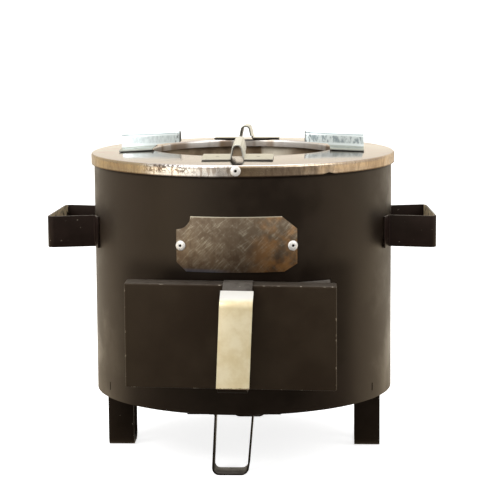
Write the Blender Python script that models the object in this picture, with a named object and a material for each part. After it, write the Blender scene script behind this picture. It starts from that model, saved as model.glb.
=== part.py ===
"""Charcoal stove: a round sheet steel stove with an ash drawer, pot rests and strip legs.

Every piece is its own closed body, in metres, with +Z up and the floor at z = 0.
The drawer faces -Y. The stove's own round axis stands AXIS_Y behind the origin,
which lies in the middle of the whole object's footprint.
"""
import math

import bmesh
import bpy
from mathutils import Matrix, Vector

MM = 0.001
GAP = 0.3 * MM
CUT_CLEAR = 3 * MM
ROUND_STEPS = 96
INNER_STEPS = 64
RIVET_STEPS = 12
SHARP_ANGLE = math.radians(35)

# Round body, heights above the floor
BODY_RADIUS = 145 * MM
BODY_SHEET = 1.2 * MM
BODY_BOTTOM_Z = 60 * MM
BODY_TOP_Z = 290 * MM
BODY_INSIDE = BODY_RADIUS - BODY_SHEET
SLOT_ANGLE = math.radians(60)
SLOT_WIDTH = 1.6 * MM
SLOT_BOTTOM_Z = 67.5 * MM
SLOT_TOP_Z = 75.5 * MM
WINDOW_REACH = 160 * MM
BASE_FLANGE_HEIGHT = 12 * MM
BASE_BEND = 3 * MM

# Conical top plate with its turned-down edge and collar
PLATE_RADIUS = 148 * MM
PLATE_SHEET = 1.2 * MM
PLATE_EDGE_Z = 291.5 * MM
PLATE_FLANGE_BOTTOM_Z = 281 * MM
PLATE_EDGE_BEND = 2.6 * MM
MOUTH_RADIUS = 87 * MM
MOUTH_EDGE_Z = 294.5 * MM
COLLAR_BOTTOM_Z = 287.5 * MM
MOUTH_BEND = 2.2 * MM
PLATE_SLOPE = (MOUTH_EDGE_Z - PLATE_EDGE_Z) / (PLATE_RADIUS - MOUTH_RADIUS)

# Firebox, its shelf and the insulation round it
SHELF_Z = 182.8 * MM
SHELF_SHEET = 1.2 * MM
SHELF_HOLE_RADIUS = 56 * MM
SHELF_RIM_HEIGHT = 8 * MM
LINER_SHEET = 1.2 * MM
LINER_BOTTOM_Z = SHELF_Z + SHELF_SHEET + GAP
LINER_LEDGE_RADIUS = 50 * MM
LINER_LOW_RADIUS = 62 * MM
LINER_TOP_RADIUS = 92 * MM
LINER_CONE_TOP_Z = 268 * MM
LINER_TOP_Z = 292 * MM
INSULATION_RADIUS = 141.8 * MM
INSULATION_TOP_Z = 281 * MM
INSULATION_GAP = 0.6 * MM
INSULATION_FOOT_GAP = 1 * MM

# Grate in the bottom of the firebox
GRATE_RADIUS = 57 * MM
GRATE_THICKNESS = 3 * MM
GRATE_BOTTOM_Z = LINER_BOTTOM_Z + LINER_SHEET + GAP
GRATE_HOLE_RADIUS = 4.5 * MM
GRATE_HOLE_SIDES = 8
GRATE_RINGS = ((0, 1), (16 * MM, 6), (31 * MM, 12), (45.5 * MM, 16))

# Drawer cap, duct and tray; the cap sits to the left of the duct's middle and droops to the right
CAP_WIDTH = 192.5 * MM
CAP_SHIFT = -4.7 * MM
CAP_DROOP = math.tan(math.radians(1))
CAP_BOTTOM_Z = 89.2 * MM
CAP_TOP_Z = 185.6 * MM
CAP_FACE = 168 * MM
CAP_DEPTH = 22 * MM
CAP_SHEET = 1.2 * MM
CAP_BEND = 2 * MM
DUCT_WIDTH = 172 * MM
DUCT_BOTTOM_Z = 92.2 * MM
DUCT_TOP_Z = 182.4 * MM
DUCT_FRONT = 150 * MM
DUCT_REAR = 85 * MM
DUCT_SHEET = 1.2 * MM
DUCT_BEND = 2 * MM
DUCT_HOLE_RADIUS = 64 * MM
TRAY_WIDTH = 162 * MM
TRAY_HEIGHT = 74 * MM
TRAY_REAR = 80 * MM
TRAY_SHEET = 1 * MM
TRAY_BEND = 1.2 * MM

# Drawer handle: a painted strap over the cap, leaning a little, with a bare folded grip round it
STRAP_WIDTH = 27 * MM
STRAP_SHEET = 1.5 * MM
STRAP_FOOT = 16 * MM
STRAP_STAND_OFF = 25 * MM
STRAP_KNEE_Z = 172.6 * MM
STRAP_HEEL_Z = 92 * MM
STRAP_BENDS = (5 * MM, 8 * MM, 3 * MM, 5 * MM)
STRAP_LEAN = math.tan(math.radians(2.6))
STRAP_UPRIGHT_Z = 136 * MM
GRIP_WIDTH = 29.8 * MM
GRIP_SHEET = 0.8 * MM
GRIP_LIP = 5 * MM
GRIP_RUN_UP = 11.4 * MM
GRIP_BOTTOM_Z = 95 * MM

# Hat-shaped pot rests
REST_SHEET = 1.4 * MM
REST_OUTER_END = 118 * MM
REST_FOOT_INNER_END = 89 * MM
REST_WALL_INNER_END = 83 * MM
REST_ARCH_INNER_END = 60.5 * MM
REST_HALF_SPAN = 33 * MM
REST_HALF_BASE = 6.2 * MM
REST_HALF_TOP = 3.5 * MM
REST_HEIGHT = 14.5 * MM
REST_CUT_LOW = 2.6 * MM
REST_CUT_HIGH = 3.6 * MM
REST_FOOT_BEND = 1.2 * MM
REST_CROWN_BEND = 3.4 * MM

# Strip legs; the front one stands off the middle and leans
LEG_SHEET = 1.6 * MM
LEG_INNER = 109 * MM
LEG_OUTER = 134 * MM
LEG_HALF_SPAN = 43.5 * MM
LEG_HALF_TOP = 17.4 * MM
LEG_HALF_BOTTOM = 16.4 * MM
LEG_FOOT_BEND = 2.5 * MM
LEG_BEND = 6.5 * MM
FRONT_LEG_SHIFT = -3.7 * MM
FRONT_LEG_LEAN = -4.1 * MM

# Side handles: loops that flare outwards, with the longer wall towards the drawer's side
HANDLE_SHEET = 1.8 * MM
HANDLE_FRONT_REACH = 187.5 * MM
HANDLE_REAR_REACH = 181.5 * MM
HANDLE_HALF_WIDTH = 37.5 * MM
HANDLE_HALF_END = 47 * MM
HANDLE_BOTTOM_Z = 202.3 * MM
HANDLE_TOP_Z = 232.6 * MM
HANDLE_TAB_ANGLE = math.radians(20.5)
HANDLE_TAB_STEPS = 3
HANDLE_TAB_BEND = 2.2 * MM
HANDLE_BEND = 5 * MM

# Name plate and rivets
NAME_PLATE_WIDTH = 112.8 * MM
NAME_PLATE_BOTTOM_Z = 193.2 * MM
NAME_PLATE_TOP_Z = 244.4 * MM
NAME_PLATE_SHEET = 1 * MM
NAME_PLATE_STRIPS = 12
NOTCH_WIDTH = 14 * MM
NOTCH_HEIGHT = 12.5 * MM
NOTCH_STEPS = 6
TOP_CORNER = (14.8 * MM, 12 * MM)
LOW_LEFT_CORNER = (9.5 * MM, 8.5 * MM)
LOW_RIGHT_CORNER = (12.5 * MM, 7 * MM)
RIVET_HEAD_RADIUS = 4.75 * MM
RIVET_SHANK_RADIUS = 2.4 * MM
RIVET_TAIL_RADIUS = 3.2 * MM
RIVET_TAIL_LENGTH = 1.1 * MM
RIVET_HOLE_RADIUS = 2.75 * MM
RIVET_DOME = ((0, 0.9 * MM), (1.1 * MM, 0.9 * MM), (1.3 * MM, 1.6 * MM), (3.1 * MM, 1.3 * MM),
              (4.4 * MM, 0.7 * MM))
NAME_RIVET_ARC = 51.6 * MM
NAME_RIVET_Z = 217 * MM
RIM_RIVET_Z = 286.6 * MM
RIM_RIVET_COUNT = 3

# The footprint's middle lies this far in front of the round body's axis
AXIS_Y = (CAP_FACE + STRAP_STAND_OFF + STRAP_SHEET / 2 + GAP + GRIP_SHEET - PLATE_RADIUS) / 2

QUARTERS = (("front", 0.0), ("right", 0.5), ("rear", 1.0), ("left", 1.5))


# Materials

def make_material(name, colour, metallic, roughness):
    material = bpy.data.materials.new(name)
    material.use_nodes = True
    shader = material.node_tree.nodes["Principled BSDF"]
    shader.inputs["Base Color"].default_value = (*colour, 1.0)
    shader.inputs["Metallic"].default_value = metallic
    shader.inputs["Roughness"].default_value = roughness
    material.diffuse_color = (*colour, 1.0)
    return material


def make_materials():
    return {
        "paint": make_material("black_paint", (0.035, 0.03, 0.026), 0.0, 0.45),
        "polished": make_material("polished_steel", (0.72, 0.68, 0.62), 1.0, 0.25),
        "galvanised": make_material("galvanised_steel", (0.62, 0.66, 0.68), 0.9, 0.4),
        "bare": make_material("bare_steel", (0.62, 0.56, 0.42), 0.8, 0.45),
        "plate": make_material("name_plate_steel", (0.30, 0.26, 0.20), 0.9, 0.4),
        "aluminium": make_material("rivet_aluminium", (0.80, 0.80, 0.79), 0.9, 0.35),
        "fire_steel": make_material("fire_dark_steel", (0.05, 0.042, 0.036), 0.5, 0.7),
        "iron": make_material("cast_iron", (0.06, 0.057, 0.055), 0.6, 0.7),
        "wool": make_material("ceramic_wool", (0.78, 0.76, 0.70), 0.0, 0.95),
    }


# Building blocks

def add_empty(name, location, parent=None):
    empty = bpy.data.objects.new(name, None)
    empty.empty_display_size = 20 * MM
    empty.location = location
    empty.parent = parent
    bpy.context.collection.objects.link(empty)
    return empty


def add_object(name, bm, material, parent, origin=(0, 0, 0), turn=0.0):
    """Makes an object from bm, whose points are given about the parent's origin."""
    bmesh.ops.translate(bm, verts=bm.verts, vec=-Vector(origin))
    bmesh.ops.recalc_face_normals(bm, faces=bm.faces)
    mesh = bpy.data.meshes.new(name)
    bm.to_mesh(mesh)
    bm.free()
    if material is not None:
        mesh.materials.append(material)
    mesh.shade_smooth()
    mesh.set_sharp_from_angle(angle=SHARP_ANGLE)
    obj = bpy.data.objects.new(name, mesh)
    bpy.context.collection.objects.link(obj)
    obj.parent = parent
    obj.location = origin
    obj.rotation_euler.z = turn
    return obj


def cut_away(target, bm, parent, origin=(0, 0, 0)):
    """Cuts the bodies in bm out of target."""
    cutter = add_object(target.name + "_cutter", bm, None, parent, origin)
    cutter.hide_render = True
    cutter.display_type = "WIRE"
    boolean = target.modifiers.new("cut", "BOOLEAN")
    boolean.operation = "DIFFERENCE"
    boolean.solver = "EXACT"
    boolean.object = cutter


def spun(profile, steps, closed=True):
    """Turns a profile of (radius, height) points about the Z axis."""
    bm = bmesh.new()
    points = [bm.verts.new((radius, 0, height)) for radius, height in profile]
    edges = [bm.edges.new(pair) for pair in zip(points, points[1:])]
    if closed:
        edges.append(bm.edges.new((points[-1], points[0])))
    bmesh.ops.spin(bm, geom=points + edges, cent=(0, 0, 0), axis=(0, 0, 1),
                   angle=math.tau, steps=steps, use_merge=True)
    bmesh.ops.remove_doubles(bm, verts=bm.verts, dist=0.001 * MM)
    return bm


def add_box(bm, low, high, turn=0.0):
    """Adds a box between two corners, turned about the Z axis."""
    size = Vector(high) - Vector(low)
    middle = (Vector(high) + Vector(low)) / 2
    matrix = Matrix.Rotation(turn, 4, "Z") @ Matrix.Translation(middle) @ Matrix.Diagonal((*size, 1))
    return bmesh.ops.create_cube(bm, size=1, matrix=matrix)["verts"]


def outward(angle, radius, height):
    """A frame on the body's side whose Z axis points straight out; angle 0 is the front."""
    turn = Matrix.Rotation(angle, 4, "Z")
    return turn @ Matrix.Translation((0, -radius, height)) @ Matrix.Rotation(math.pi / 2, 4, "X")


def add_drill(bm, angle, height, radius, inner, outer):
    """Adds a round cutter that runs radially from inner to outer."""
    matrix = outward(angle, (inner + outer) / 2, height)
    bmesh.ops.create_cone(bm, cap_ends=True, segments=RIVET_STEPS, radius1=radius, radius2=radius,
                          depth=outer - inner, matrix=matrix)


def arc(centre, radius, start, end, steps):
    """Points on an arc in a profile's plane; angles in degrees from the radius direction."""
    angles = [math.radians(start + (end - start) * i / steps) for i in range(steps + 1)]
    return [(centre[0] + radius * math.cos(a), centre[1] + radius * math.sin(a)) for a in angles]


def left_of(direction):
    return Vector((-direction.y, direction.x))


def bend_path(points, bends, steps=4):
    """Stations (point, normal) along a path whose inner corners are bent to the given radii."""
    points = [Vector(point) for point in points]
    ways = [(b - a).normalized() for a, b in zip(points, points[1:])]
    stations = [(points[0], left_of(ways[0]))]
    for corner, before, after, radius in zip(points[1:-1], ways, ways[1:], bends):
        turn = before.angle_signed(after)
        if radius == 0 or abs(turn) < 0.01:
            stations.append((corner, left_of(before)))
            continue
        side = -math.copysign(1, turn)
        start = corner - before * radius * math.tan(abs(turn) / 2)
        centre = start + left_of(before) * radius * side
        for i in range(steps + 1):
            way = before.copy()
            way.rotate(Matrix.Rotation(-turn * i / steps, 2))
            normal = left_of(way)
            stations.append((centre - normal * radius * side, normal))
    stations.append((points[-1], left_of(ways[-1])))
    return stations


def swept(stations, section, place):
    """Sweeps a closed section along a path.

    section gives the outline's (offset along the normal, sideways) points at a station,
    and place turns (along u, along v, sideways) into a point in space.
    """
    bm = bmesh.new()
    rings = []
    for point, normal in stations:
        ring = []
        for offset, side in section(point):
            spot = point + normal * offset
            ring.append(bm.verts.new(place(spot.x, spot.y, side)))
        rings.append(ring)
    for one, two in zip(rings, rings[1:]):
        for i in range(len(one)):
            j = (i + 1) % len(one)
            bm.faces.new((one[i], one[j], two[j], two[i]))
    bm.faces.new(rings[0])
    bm.faces.new(rings[-1])
    return bm


def flat_section(thickness, low, high):
    """The section of a plain strip of sheet."""
    half = thickness / 2
    outline = ((half, low), (-half, low), (-half, high), (half, high))
    return lambda point: outline


def open_box(low, high, wall, open_axis, open_sign, bend):
    """A folded box of sheet, open on one side, with rounded outer folds."""
    bm = bmesh.new()
    add_box(bm, low, high)
    way = Vector((0, 0, 0))
    way[open_axis] = open_sign
    mouth = max(bm.faces, key=lambda face: face.normal.dot(way))
    folds = [edge for edge in bm.edges if mouth not in edge.link_faces]
    bmesh.ops.bevel(bm, geom=folds, offset=bend, segments=2, profile=0.5, affect="EDGES",
                    clamp_overlap=True)
    bmesh.ops.recalc_face_normals(bm, faces=bm.faces)
    mouth = max(bm.faces, key=lambda face: (face.normal.dot(way), face.calc_area()))
    bmesh.ops.inset_region(bm, faces=[mouth], thickness=wall, use_even_offset=True)
    depth = (Vector(high) - Vector(low))[open_axis] - wall
    bmesh.ops.translate(bm, verts=mouth.verts, vec=-way * depth)
    return bm


# Round body

def make_body_shell(material, parent):
    profile = [(BODY_RADIUS, BODY_TOP_Z), (BODY_RADIUS, BODY_BOTTOM_Z),
               (BODY_INSIDE, BODY_BOTTOM_Z), (BODY_INSIDE, BODY_TOP_Z)]
    shell = add_object("body_shell", spun(profile, ROUND_STEPS), material, parent)
    holes = bmesh.new()
    half = DUCT_WIDTH / 2 + GAP
    inner = BODY_INSIDE - CUT_CLEAR
    outer = BODY_RADIUS + CUT_CLEAR
    add_box(holes, (-half, -WINDOW_REACH, DUCT_BOTTOM_Z - GAP), (half, 0, DUCT_TOP_Z + GAP))
    for turn in (-SLOT_ANGLE, SLOT_ANGLE, math.pi - SLOT_ANGLE, math.pi + SLOT_ANGLE):
        add_box(holes, (-SLOT_WIDTH / 2, -outer, SLOT_BOTTOM_Z),
                (SLOT_WIDTH / 2, -inner, SLOT_TOP_Z), turn)
    for angle in name_rivet_angles():
        add_drill(holes, angle, NAME_RIVET_Z, RIVET_HOLE_RADIUS, inner, outer)
    for angle in rim_rivet_angles():
        add_drill(holes, angle, RIM_RIVET_Z, RIVET_HOLE_RADIUS, inner, outer)
    cut_away(shell, holes, parent)


def make_base_plate(material, parent):
    """A disc with its edge turned up inside the body's lower end."""
    outer = BODY_INSIDE - GAP
    inner = outer - BODY_SHEET
    top = BODY_BOTTOM_Z + BASE_FLANGE_HEIGHT
    centre = (outer - BASE_BEND, BODY_BOTTOM_Z + BASE_BEND)
    profile = [(0, BODY_BOTTOM_Z)]
    profile += arc(centre, BASE_BEND, -90, 0, 3)
    profile += [(outer, top), (inner, top)]
    profile += arc(centre, BASE_BEND - BODY_SHEET, 0, -90, 3)
    profile += [(0, BODY_BOTTOM_Z + BODY_SHEET)]
    add_object("base_plate", spun(profile, INNER_STEPS, closed=False), material, parent)


def plate_height(radius):
    """Height of the top plate's upper face at a radius."""
    return MOUTH_EDGE_Z - (radius - MOUTH_RADIUS) * PLATE_SLOPE


def make_top_plate(material, parent):
    """A gently conical ring with a turned-down outer edge and a collar round the mouth."""
    slope = math.degrees(math.atan(PLATE_SLOPE))
    edge_radius = PLATE_RADIUS - PLATE_EDGE_BEND
    edge = (edge_radius, plate_height(edge_radius) - PLATE_EDGE_BEND)
    mouth_radius = MOUTH_RADIUS + MOUTH_BEND
    mouth = (mouth_radius, plate_height(mouth_radius) - MOUTH_BEND)
    profile = [(PLATE_RADIUS, PLATE_FLANGE_BOTTOM_Z)]
    profile += arc(edge, PLATE_EDGE_BEND, 0, 90 - slope, 4)
    profile += arc(mouth, MOUTH_BEND, 90 - slope, 180, 4)
    profile += [(MOUTH_RADIUS, COLLAR_BOTTOM_Z), (MOUTH_RADIUS + PLATE_SHEET, COLLAR_BOTTOM_Z)]
    profile += arc(mouth, MOUTH_BEND - PLATE_SHEET, 180, 90 - slope, 2)
    profile += arc(edge, PLATE_EDGE_BEND - PLATE_SHEET, 90 - slope, 0, 2)
    profile += [(PLATE_RADIUS - PLATE_SHEET, PLATE_FLANGE_BOTTOM_Z)]
    plate = add_object("top_plate", spun(profile, ROUND_STEPS), material, parent)
    holes = bmesh.new()
    for angle in rim_rivet_angles():
        add_drill(holes, angle, RIM_RIVET_Z, RIVET_HOLE_RADIUS,
                  PLATE_RADIUS - CUT_CLEAR, PLATE_RADIUS + CUT_CLEAR)
    cut_away(plate, holes, parent)


# Firebox

def make_shelf_plate(material, parent):
    """The ring that carries the firebox above the drawer, with its rim turned up."""
    outer = BODY_INSIDE - GAP
    top = SHELF_Z + SHELF_SHEET
    profile = [(outer, SHELF_Z + SHELF_RIM_HEIGHT), (outer, SHELF_Z), (SHELF_HOLE_RADIUS, SHELF_Z),
               (SHELF_HOLE_RADIUS, top), (outer - SHELF_SHEET, top),
               (outer - SHELF_SHEET, SHELF_Z + SHELF_RIM_HEIGHT)]
    add_object("shelf_plate", spun(profile, INNER_STEPS), material, parent)


def make_firebox_liner(material, parent):
    """A tapered pot of sheet with an inner ledge for the grate."""
    floor_top = LINER_BOTTOM_Z + LINER_SHEET
    profile = [(LINER_TOP_RADIUS + LINER_SHEET, LINER_TOP_Z),
               (LINER_TOP_RADIUS + LINER_SHEET, LINER_CONE_TOP_Z),
               (LINER_LOW_RADIUS + LINER_SHEET, LINER_BOTTOM_Z),
               (LINER_LEDGE_RADIUS, LINER_BOTTOM_Z),
               (LINER_LEDGE_RADIUS, floor_top),
               (LINER_LOW_RADIUS, floor_top),
               (LINER_TOP_RADIUS, LINER_CONE_TOP_Z),
               (LINER_TOP_RADIUS, LINER_TOP_Z)]
    add_object("firebox_liner", spun(profile, INNER_STEPS), material, parent)


def make_insulation_ring(material, parent):
    """The wool packed between the firebox and the body."""
    bottom = SHELF_Z + SHELF_SHEET + GAP
    clear = LINER_SHEET + INSULATION_GAP
    profile = [(INSULATION_RADIUS, INSULATION_TOP_Z), (INSULATION_RADIUS, bottom),
               (LINER_LOW_RADIUS + clear + INSULATION_FOOT_GAP, bottom),
               (LINER_TOP_RADIUS + clear, LINER_CONE_TOP_Z),
               (LINER_TOP_RADIUS + clear, INSULATION_TOP_Z)]
    add_object("insulation_ring", spun(profile, INNER_STEPS), material, parent)


def make_grate(material, parent):
    """A round perforated grate that lifts out upward."""
    centre = (0, 0, GRATE_BOTTOM_Z)
    top = GRATE_BOTTOM_Z + GRATE_THICKNESS
    profile = [(0, top), (GRATE_RADIUS, top), (GRATE_RADIUS, GRATE_BOTTOM_Z), (0, GRATE_BOTTOM_Z)]
    lift = add_empty("grate_lift", centre, parent)
    bm = spun(profile, INNER_STEPS, closed=False)
    bmesh.ops.translate(bm, verts=bm.verts, vec=-Vector(centre))
    grate = add_object("grate", bm, material, lift)
    holes = bmesh.new()
    for ring_radius, count in GRATE_RINGS:
        for i in range(count):
            angle = math.tau * i / count
            spot = (ring_radius * math.sin(angle), ring_radius * math.cos(angle), GRATE_THICKNESS / 2)
            bmesh.ops.create_cone(holes, cap_ends=True, segments=GRATE_HOLE_SIDES,
                                  radius1=GRATE_HOLE_RADIUS, radius2=GRATE_HOLE_RADIUS,
                                  depth=GRATE_THICKNESS * 2, matrix=Matrix.Translation(spot))
    cut_away(grate, holes, lift)


# Ash drawer

def make_drawer_duct(material, parent):
    """The folded duct that the drawer slides in, with the ash hole in its roof."""
    half = DUCT_WIDTH / 2
    bm = open_box((-half, -DUCT_FRONT, DUCT_BOTTOM_Z), (half, DUCT_REAR, DUCT_TOP_Z),
                  DUCT_SHEET, 1, -1, DUCT_BEND)
    duct = add_object("drawer_duct", bm, material, parent)
    hole = bmesh.new()
    bmesh.ops.create_cone(hole, cap_ends=True, segments=INNER_STEPS, radius1=DUCT_HOLE_RADIUS,
                          radius2=DUCT_HOLE_RADIUS, depth=2 * CUT_CLEAR,
                          matrix=Matrix.Translation((0, 0, DUCT_TOP_Z)))
    cut_away(duct, hole, parent)


def droop(x):
    """How much lower the drooping cap and its handle hang at a place across the drawer."""
    return (x - CAP_SHIFT) * CAP_DROOP


def make_drawer_front(material, parent, origin):
    half = CAP_WIDTH / 2
    bm = open_box((CAP_SHIFT - half, -CAP_FACE, CAP_BOTTOM_Z),
                  (CAP_SHIFT + half, -CAP_FACE + CAP_DEPTH, CAP_TOP_Z), CAP_SHEET, 1, 1, CAP_BEND)
    for vert in bm.verts:
        vert.co.z -= droop(vert.co.x)
    bmesh.ops.translate(bm, verts=bm.verts, vec=-origin)
    add_object("drawer_front", bm, material, parent)


def make_ash_tray(material, parent, origin):
    half = TRAY_WIDTH / 2
    bottom = DUCT_BOTTOM_Z + DUCT_SHEET + GAP
    front = -CAP_FACE + CAP_SHEET + GAP
    bm = open_box((-half, front, bottom), (half, TRAY_REAR, bottom + TRAY_HEIGHT),
                  TRAY_SHEET, 2, 1, TRAY_BEND)
    bmesh.ops.translate(bm, verts=bm.verts, vec=-origin)
    add_object("ash_tray", bm, material, parent)


def strap_stations():
    """The strap's middle line in the drawer's side view: (forward, height)."""
    clear = GAP + STRAP_SHEET / 2
    top = CAP_TOP_Z + clear
    bottom = CAP_BOTTOM_Z - clear
    edge = CAP_FACE + clear
    foot = CAP_FACE - STRAP_FOOT
    front = CAP_FACE + STRAP_STAND_OFF
    points = [(foot, top), (edge, top), (front, STRAP_KNEE_Z), (front, STRAP_HEEL_Z),
              (edge, bottom), (foot, bottom)]
    return bend_path(points, STRAP_BENDS)


def beside_drawer(origin):
    def place(forward, height, side):
        x = side + (height - STRAP_UPRIGHT_Z) * STRAP_LEAN
        return Vector((x, -forward, height - droop(x))) - origin
    return place


def make_drawer_handle(material, parent, origin):
    half = STRAP_WIDTH / 2
    section = flat_section(STRAP_SHEET, -half, half)
    bm = swept(strap_stations(), section, beside_drawer(origin))
    add_object("drawer_handle", bm, material, parent)


def grip_section(point):
    """A channel of thin sheet folded round the strap's two edges."""
    half = GRIP_WIDTH / 2
    near = STRAP_SHEET / 2 + GAP
    far = near + GRIP_SHEET
    wall = half - GRIP_SHEET
    lip = half - GRIP_LIP
    return ((far, -half), (far, half), (-far, half), (-far, lip), (-near, lip), (-near, wall),
            (near, wall), (near, -wall), (-near, -wall), (-near, -lip), (-far, -lip), (-far, -half))


def make_drawer_grip(material, parent, origin):
    knee_start = CAP_FACE + STRAP_STAND_OFF / 4
    stations = [s for s in strap_stations() if s[0].x > knee_start and s[0].y > GRIP_BOTTOM_Z]
    knee_point, knee_normal = stations[0]
    down_the_strap = Vector((knee_normal.y, -knee_normal.x))
    top_end = knee_point - down_the_strap * GRIP_RUN_UP
    low_end = Vector((CAP_FACE + STRAP_STAND_OFF, GRIP_BOTTOM_Z))
    stations = [(top_end, knee_normal)] + stations + [(low_end, stations[-1][1])]
    bm = swept(stations, grip_section, beside_drawer(origin))
    add_object("drawer_grip", bm, material, parent)


def make_drawer(materials, parent):
    origin = Vector((0, -CAP_FACE, (CAP_BOTTOM_Z + CAP_TOP_Z) / 2))
    slide = add_empty("drawer_slide", origin, parent)
    make_drawer_front(materials["paint"], slide, origin)
    make_ash_tray(materials["paint"], slide, origin)
    make_drawer_handle(materials["paint"], slide, origin)
    make_drawer_grip(materials["bare"], slide, origin)


# Pot rests, legs and side handles

def rest_inner_end(height):
    """How far in the pot rest's sheet reaches at a height above its foot's middle line."""
    steps = ((0, REST_FOOT_INNER_END), (REST_CUT_LOW, REST_WALL_INNER_END),
             (REST_CUT_HIGH, REST_ARCH_INNER_END))
    for (low, outer), (high, inner) in zip(steps, steps[1:]):
        if height <= low:
            return outer
        if height < high:
            return outer + (inner - outer) * (height - low) / (high - low)
    return REST_ARCH_INNER_END


def make_pot_rests(material, parent):
    """Four folded hats of strip; each stands on the plate and reaches in over the mouth."""
    foot = REST_SHEET / 2
    crown = REST_HEIGHT - REST_SHEET / 2

    def wall_at(height):
        share = (height - foot) / (crown - foot)
        return REST_HALF_BASE + (REST_HALF_TOP - REST_HALF_BASE) * share

    def section(point):
        inner_end = rest_inner_end(point.y - foot)
        half = REST_SHEET / 2
        return ((half, inner_end), (-half, inner_end), (-half, REST_OUTER_END), (half, REST_OUTER_END))

    def place(along, height, out):
        return (along, -out, plate_height(out) + GAP + height)

    low = foot + REST_CUT_LOW
    high = foot + REST_CUT_HIGH
    left = [(-REST_HALF_SPAN, foot), (-REST_HALF_BASE, foot), (-wall_at(low), low),
            (-wall_at(high), high), (-REST_HALF_TOP, crown)]
    right = [(-x, y) for x, y in reversed(left)]
    bends = [REST_FOOT_BEND, 0, 0, REST_CROWN_BEND, REST_CROWN_BEND, 0, 0, REST_FOOT_BEND]
    stations = bend_path(left + right, bends)
    for name, quarter in QUARTERS:
        add_object("pot_rest_" + name, swept(stations, section, place), material, parent,
                   turn=quarter * math.pi)


def make_legs(material, parent):
    """Four strip loops whose feet lie under the base plate."""
    foot = BODY_BOTTOM_Z - GAP - LEG_SHEET / 2
    sole = LEG_SHEET / 2
    left = [(-LEG_HALF_SPAN, foot), (-LEG_HALF_TOP, foot), (-LEG_HALF_BOTTOM, sole)]
    right = [(-x, y) for x, y in reversed(left)]
    stations = bend_path(left + right, [LEG_FOOT_BEND, LEG_BEND, LEG_BEND, LEG_FOOT_BEND])
    section = flat_section(LEG_SHEET, LEG_INNER, LEG_OUTER)

    def upright(along, height, out):
        return (along, -out, height)

    def leaning(along, height, out):
        share = min((foot - height) / (foot - sole), 1)
        return (along + FRONT_LEG_SHIFT + FRONT_LEG_LEAN * share, -out, height)

    for name, quarter in QUARTERS:
        bm = swept(stations, section, leaning if name == "front" else upright)
        add_object("leg_" + name, bm, material, parent, turn=quarter * math.pi)


def make_side_handles(material, parent):
    """Two strip loops on edge, with short tabs that hug the body."""
    seat = BODY_RADIUS + GAP + HANDLE_SHEET / 2
    wall_angle = math.asin(HANDLE_HALF_WIDTH / seat)
    tab = []
    for i in range(HANDLE_TAB_STEPS + 1):
        angle = HANDLE_TAB_ANGLE + (wall_angle - HANDLE_TAB_ANGLE) * i / HANDLE_TAB_STEPS
        tab.append((-seat * math.sin(angle), seat * math.cos(angle)))
    end = [(-HANDLE_HALF_END, HANDLE_FRONT_REACH - HANDLE_SHEET / 2),
           (HANDLE_HALF_END, HANDLE_REAR_REACH - HANDLE_SHEET / 2)]
    far_tab = [(-x, y) for x, y in reversed(tab)]
    straight = [0] * (HANDLE_TAB_STEPS - 1)
    corners = [HANDLE_TAB_BEND, HANDLE_BEND, HANDLE_BEND, HANDLE_TAB_BEND]
    stations = bend_path(tab + end + far_tab, straight + corners + straight)
    section = flat_section(HANDLE_SHEET, HANDLE_BOTTOM_Z, HANDLE_TOP_Z)
    right = swept(stations, section, lambda along, out, height: (along, -out, height))
    add_object("handle_right", right, material, parent, turn=math.pi / 2)
    left = swept(stations, section, lambda along, out, height: (-along, -out, height))
    add_object("handle_left", left, material, parent, turn=-math.pi / 2)


# Name plate and rivets

def name_rivet_angles():
    return (-NAME_RIVET_ARC / BODY_RADIUS, NAME_RIVET_ARC / BODY_RADIUS)


def rim_rivet_angles():
    return [math.tau * i / RIM_RIVET_COUNT for i in range(RIM_RIVET_COUNT)]


def name_plate_outline():
    """The flat plate's outline: one corner notched round, three cut off straight."""
    left = -NAME_PLATE_WIDTH / 2
    right = NAME_PLATE_WIDTH / 2
    low = NAME_PLATE_BOTTOM_Z
    high = NAME_PLATE_TOP_Z
    notch = []
    for i in range(NOTCH_STEPS + 1):
        angle = math.pi / 2 * i / NOTCH_STEPS
        notch.append((left + NOTCH_WIDTH * math.cos(angle), high - NOTCH_HEIGHT * math.sin(angle)))
    return notch + [(left, low + LOW_LEFT_CORNER[1]), (left + LOW_LEFT_CORNER[0], low),
                    (right - LOW_RIGHT_CORNER[0], low), (right, low + LOW_RIGHT_CORNER[1]),
                    (right, high - TOP_CORNER[1]), (right - TOP_CORNER[0], high)]


def make_name_plate(material, parent):
    """A blank plate, cut flat and then rolled to the body's curve."""
    bm = bmesh.new()
    face = bm.faces.new([bm.verts.new((x, 0, z)) for x, z in name_plate_outline()])
    for i in range(1, NAME_PLATE_STRIPS):
        spot = NAME_PLATE_WIDTH * (i / NAME_PLATE_STRIPS - 0.5)
        geometry = bm.verts[:] + bm.edges[:] + bm.faces[:]
        bmesh.ops.bisect_plane(bm, geom=geometry, plane_co=(spot, 0, 0), plane_no=(1, 0, 0))
    lifted = bmesh.ops.extrude_face_region(bm, geom=bm.faces[:])["geom"]
    outer = [item for item in lifted if isinstance(item, bmesh.types.BMVert)]
    bmesh.ops.translate(bm, verts=outer, vec=(0, -NAME_PLATE_SHEET, 0))
    for vert in bm.verts:
        radius = BODY_RADIUS + GAP - vert.co.y
        angle = vert.co.x / BODY_RADIUS
        vert.co.x = radius * math.sin(angle)
        vert.co.y = -radius * math.cos(angle)
    plate = add_object("name_plate", bm, material, parent)
    holes = bmesh.new()
    for angle in name_rivet_angles():
        add_drill(holes, angle, NAME_RIVET_Z, RIVET_HOLE_RADIUS,
                  BODY_RADIUS - CUT_CLEAR, BODY_RADIUS + CUT_CLEAR)
    cut_away(plate, holes, parent)


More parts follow.
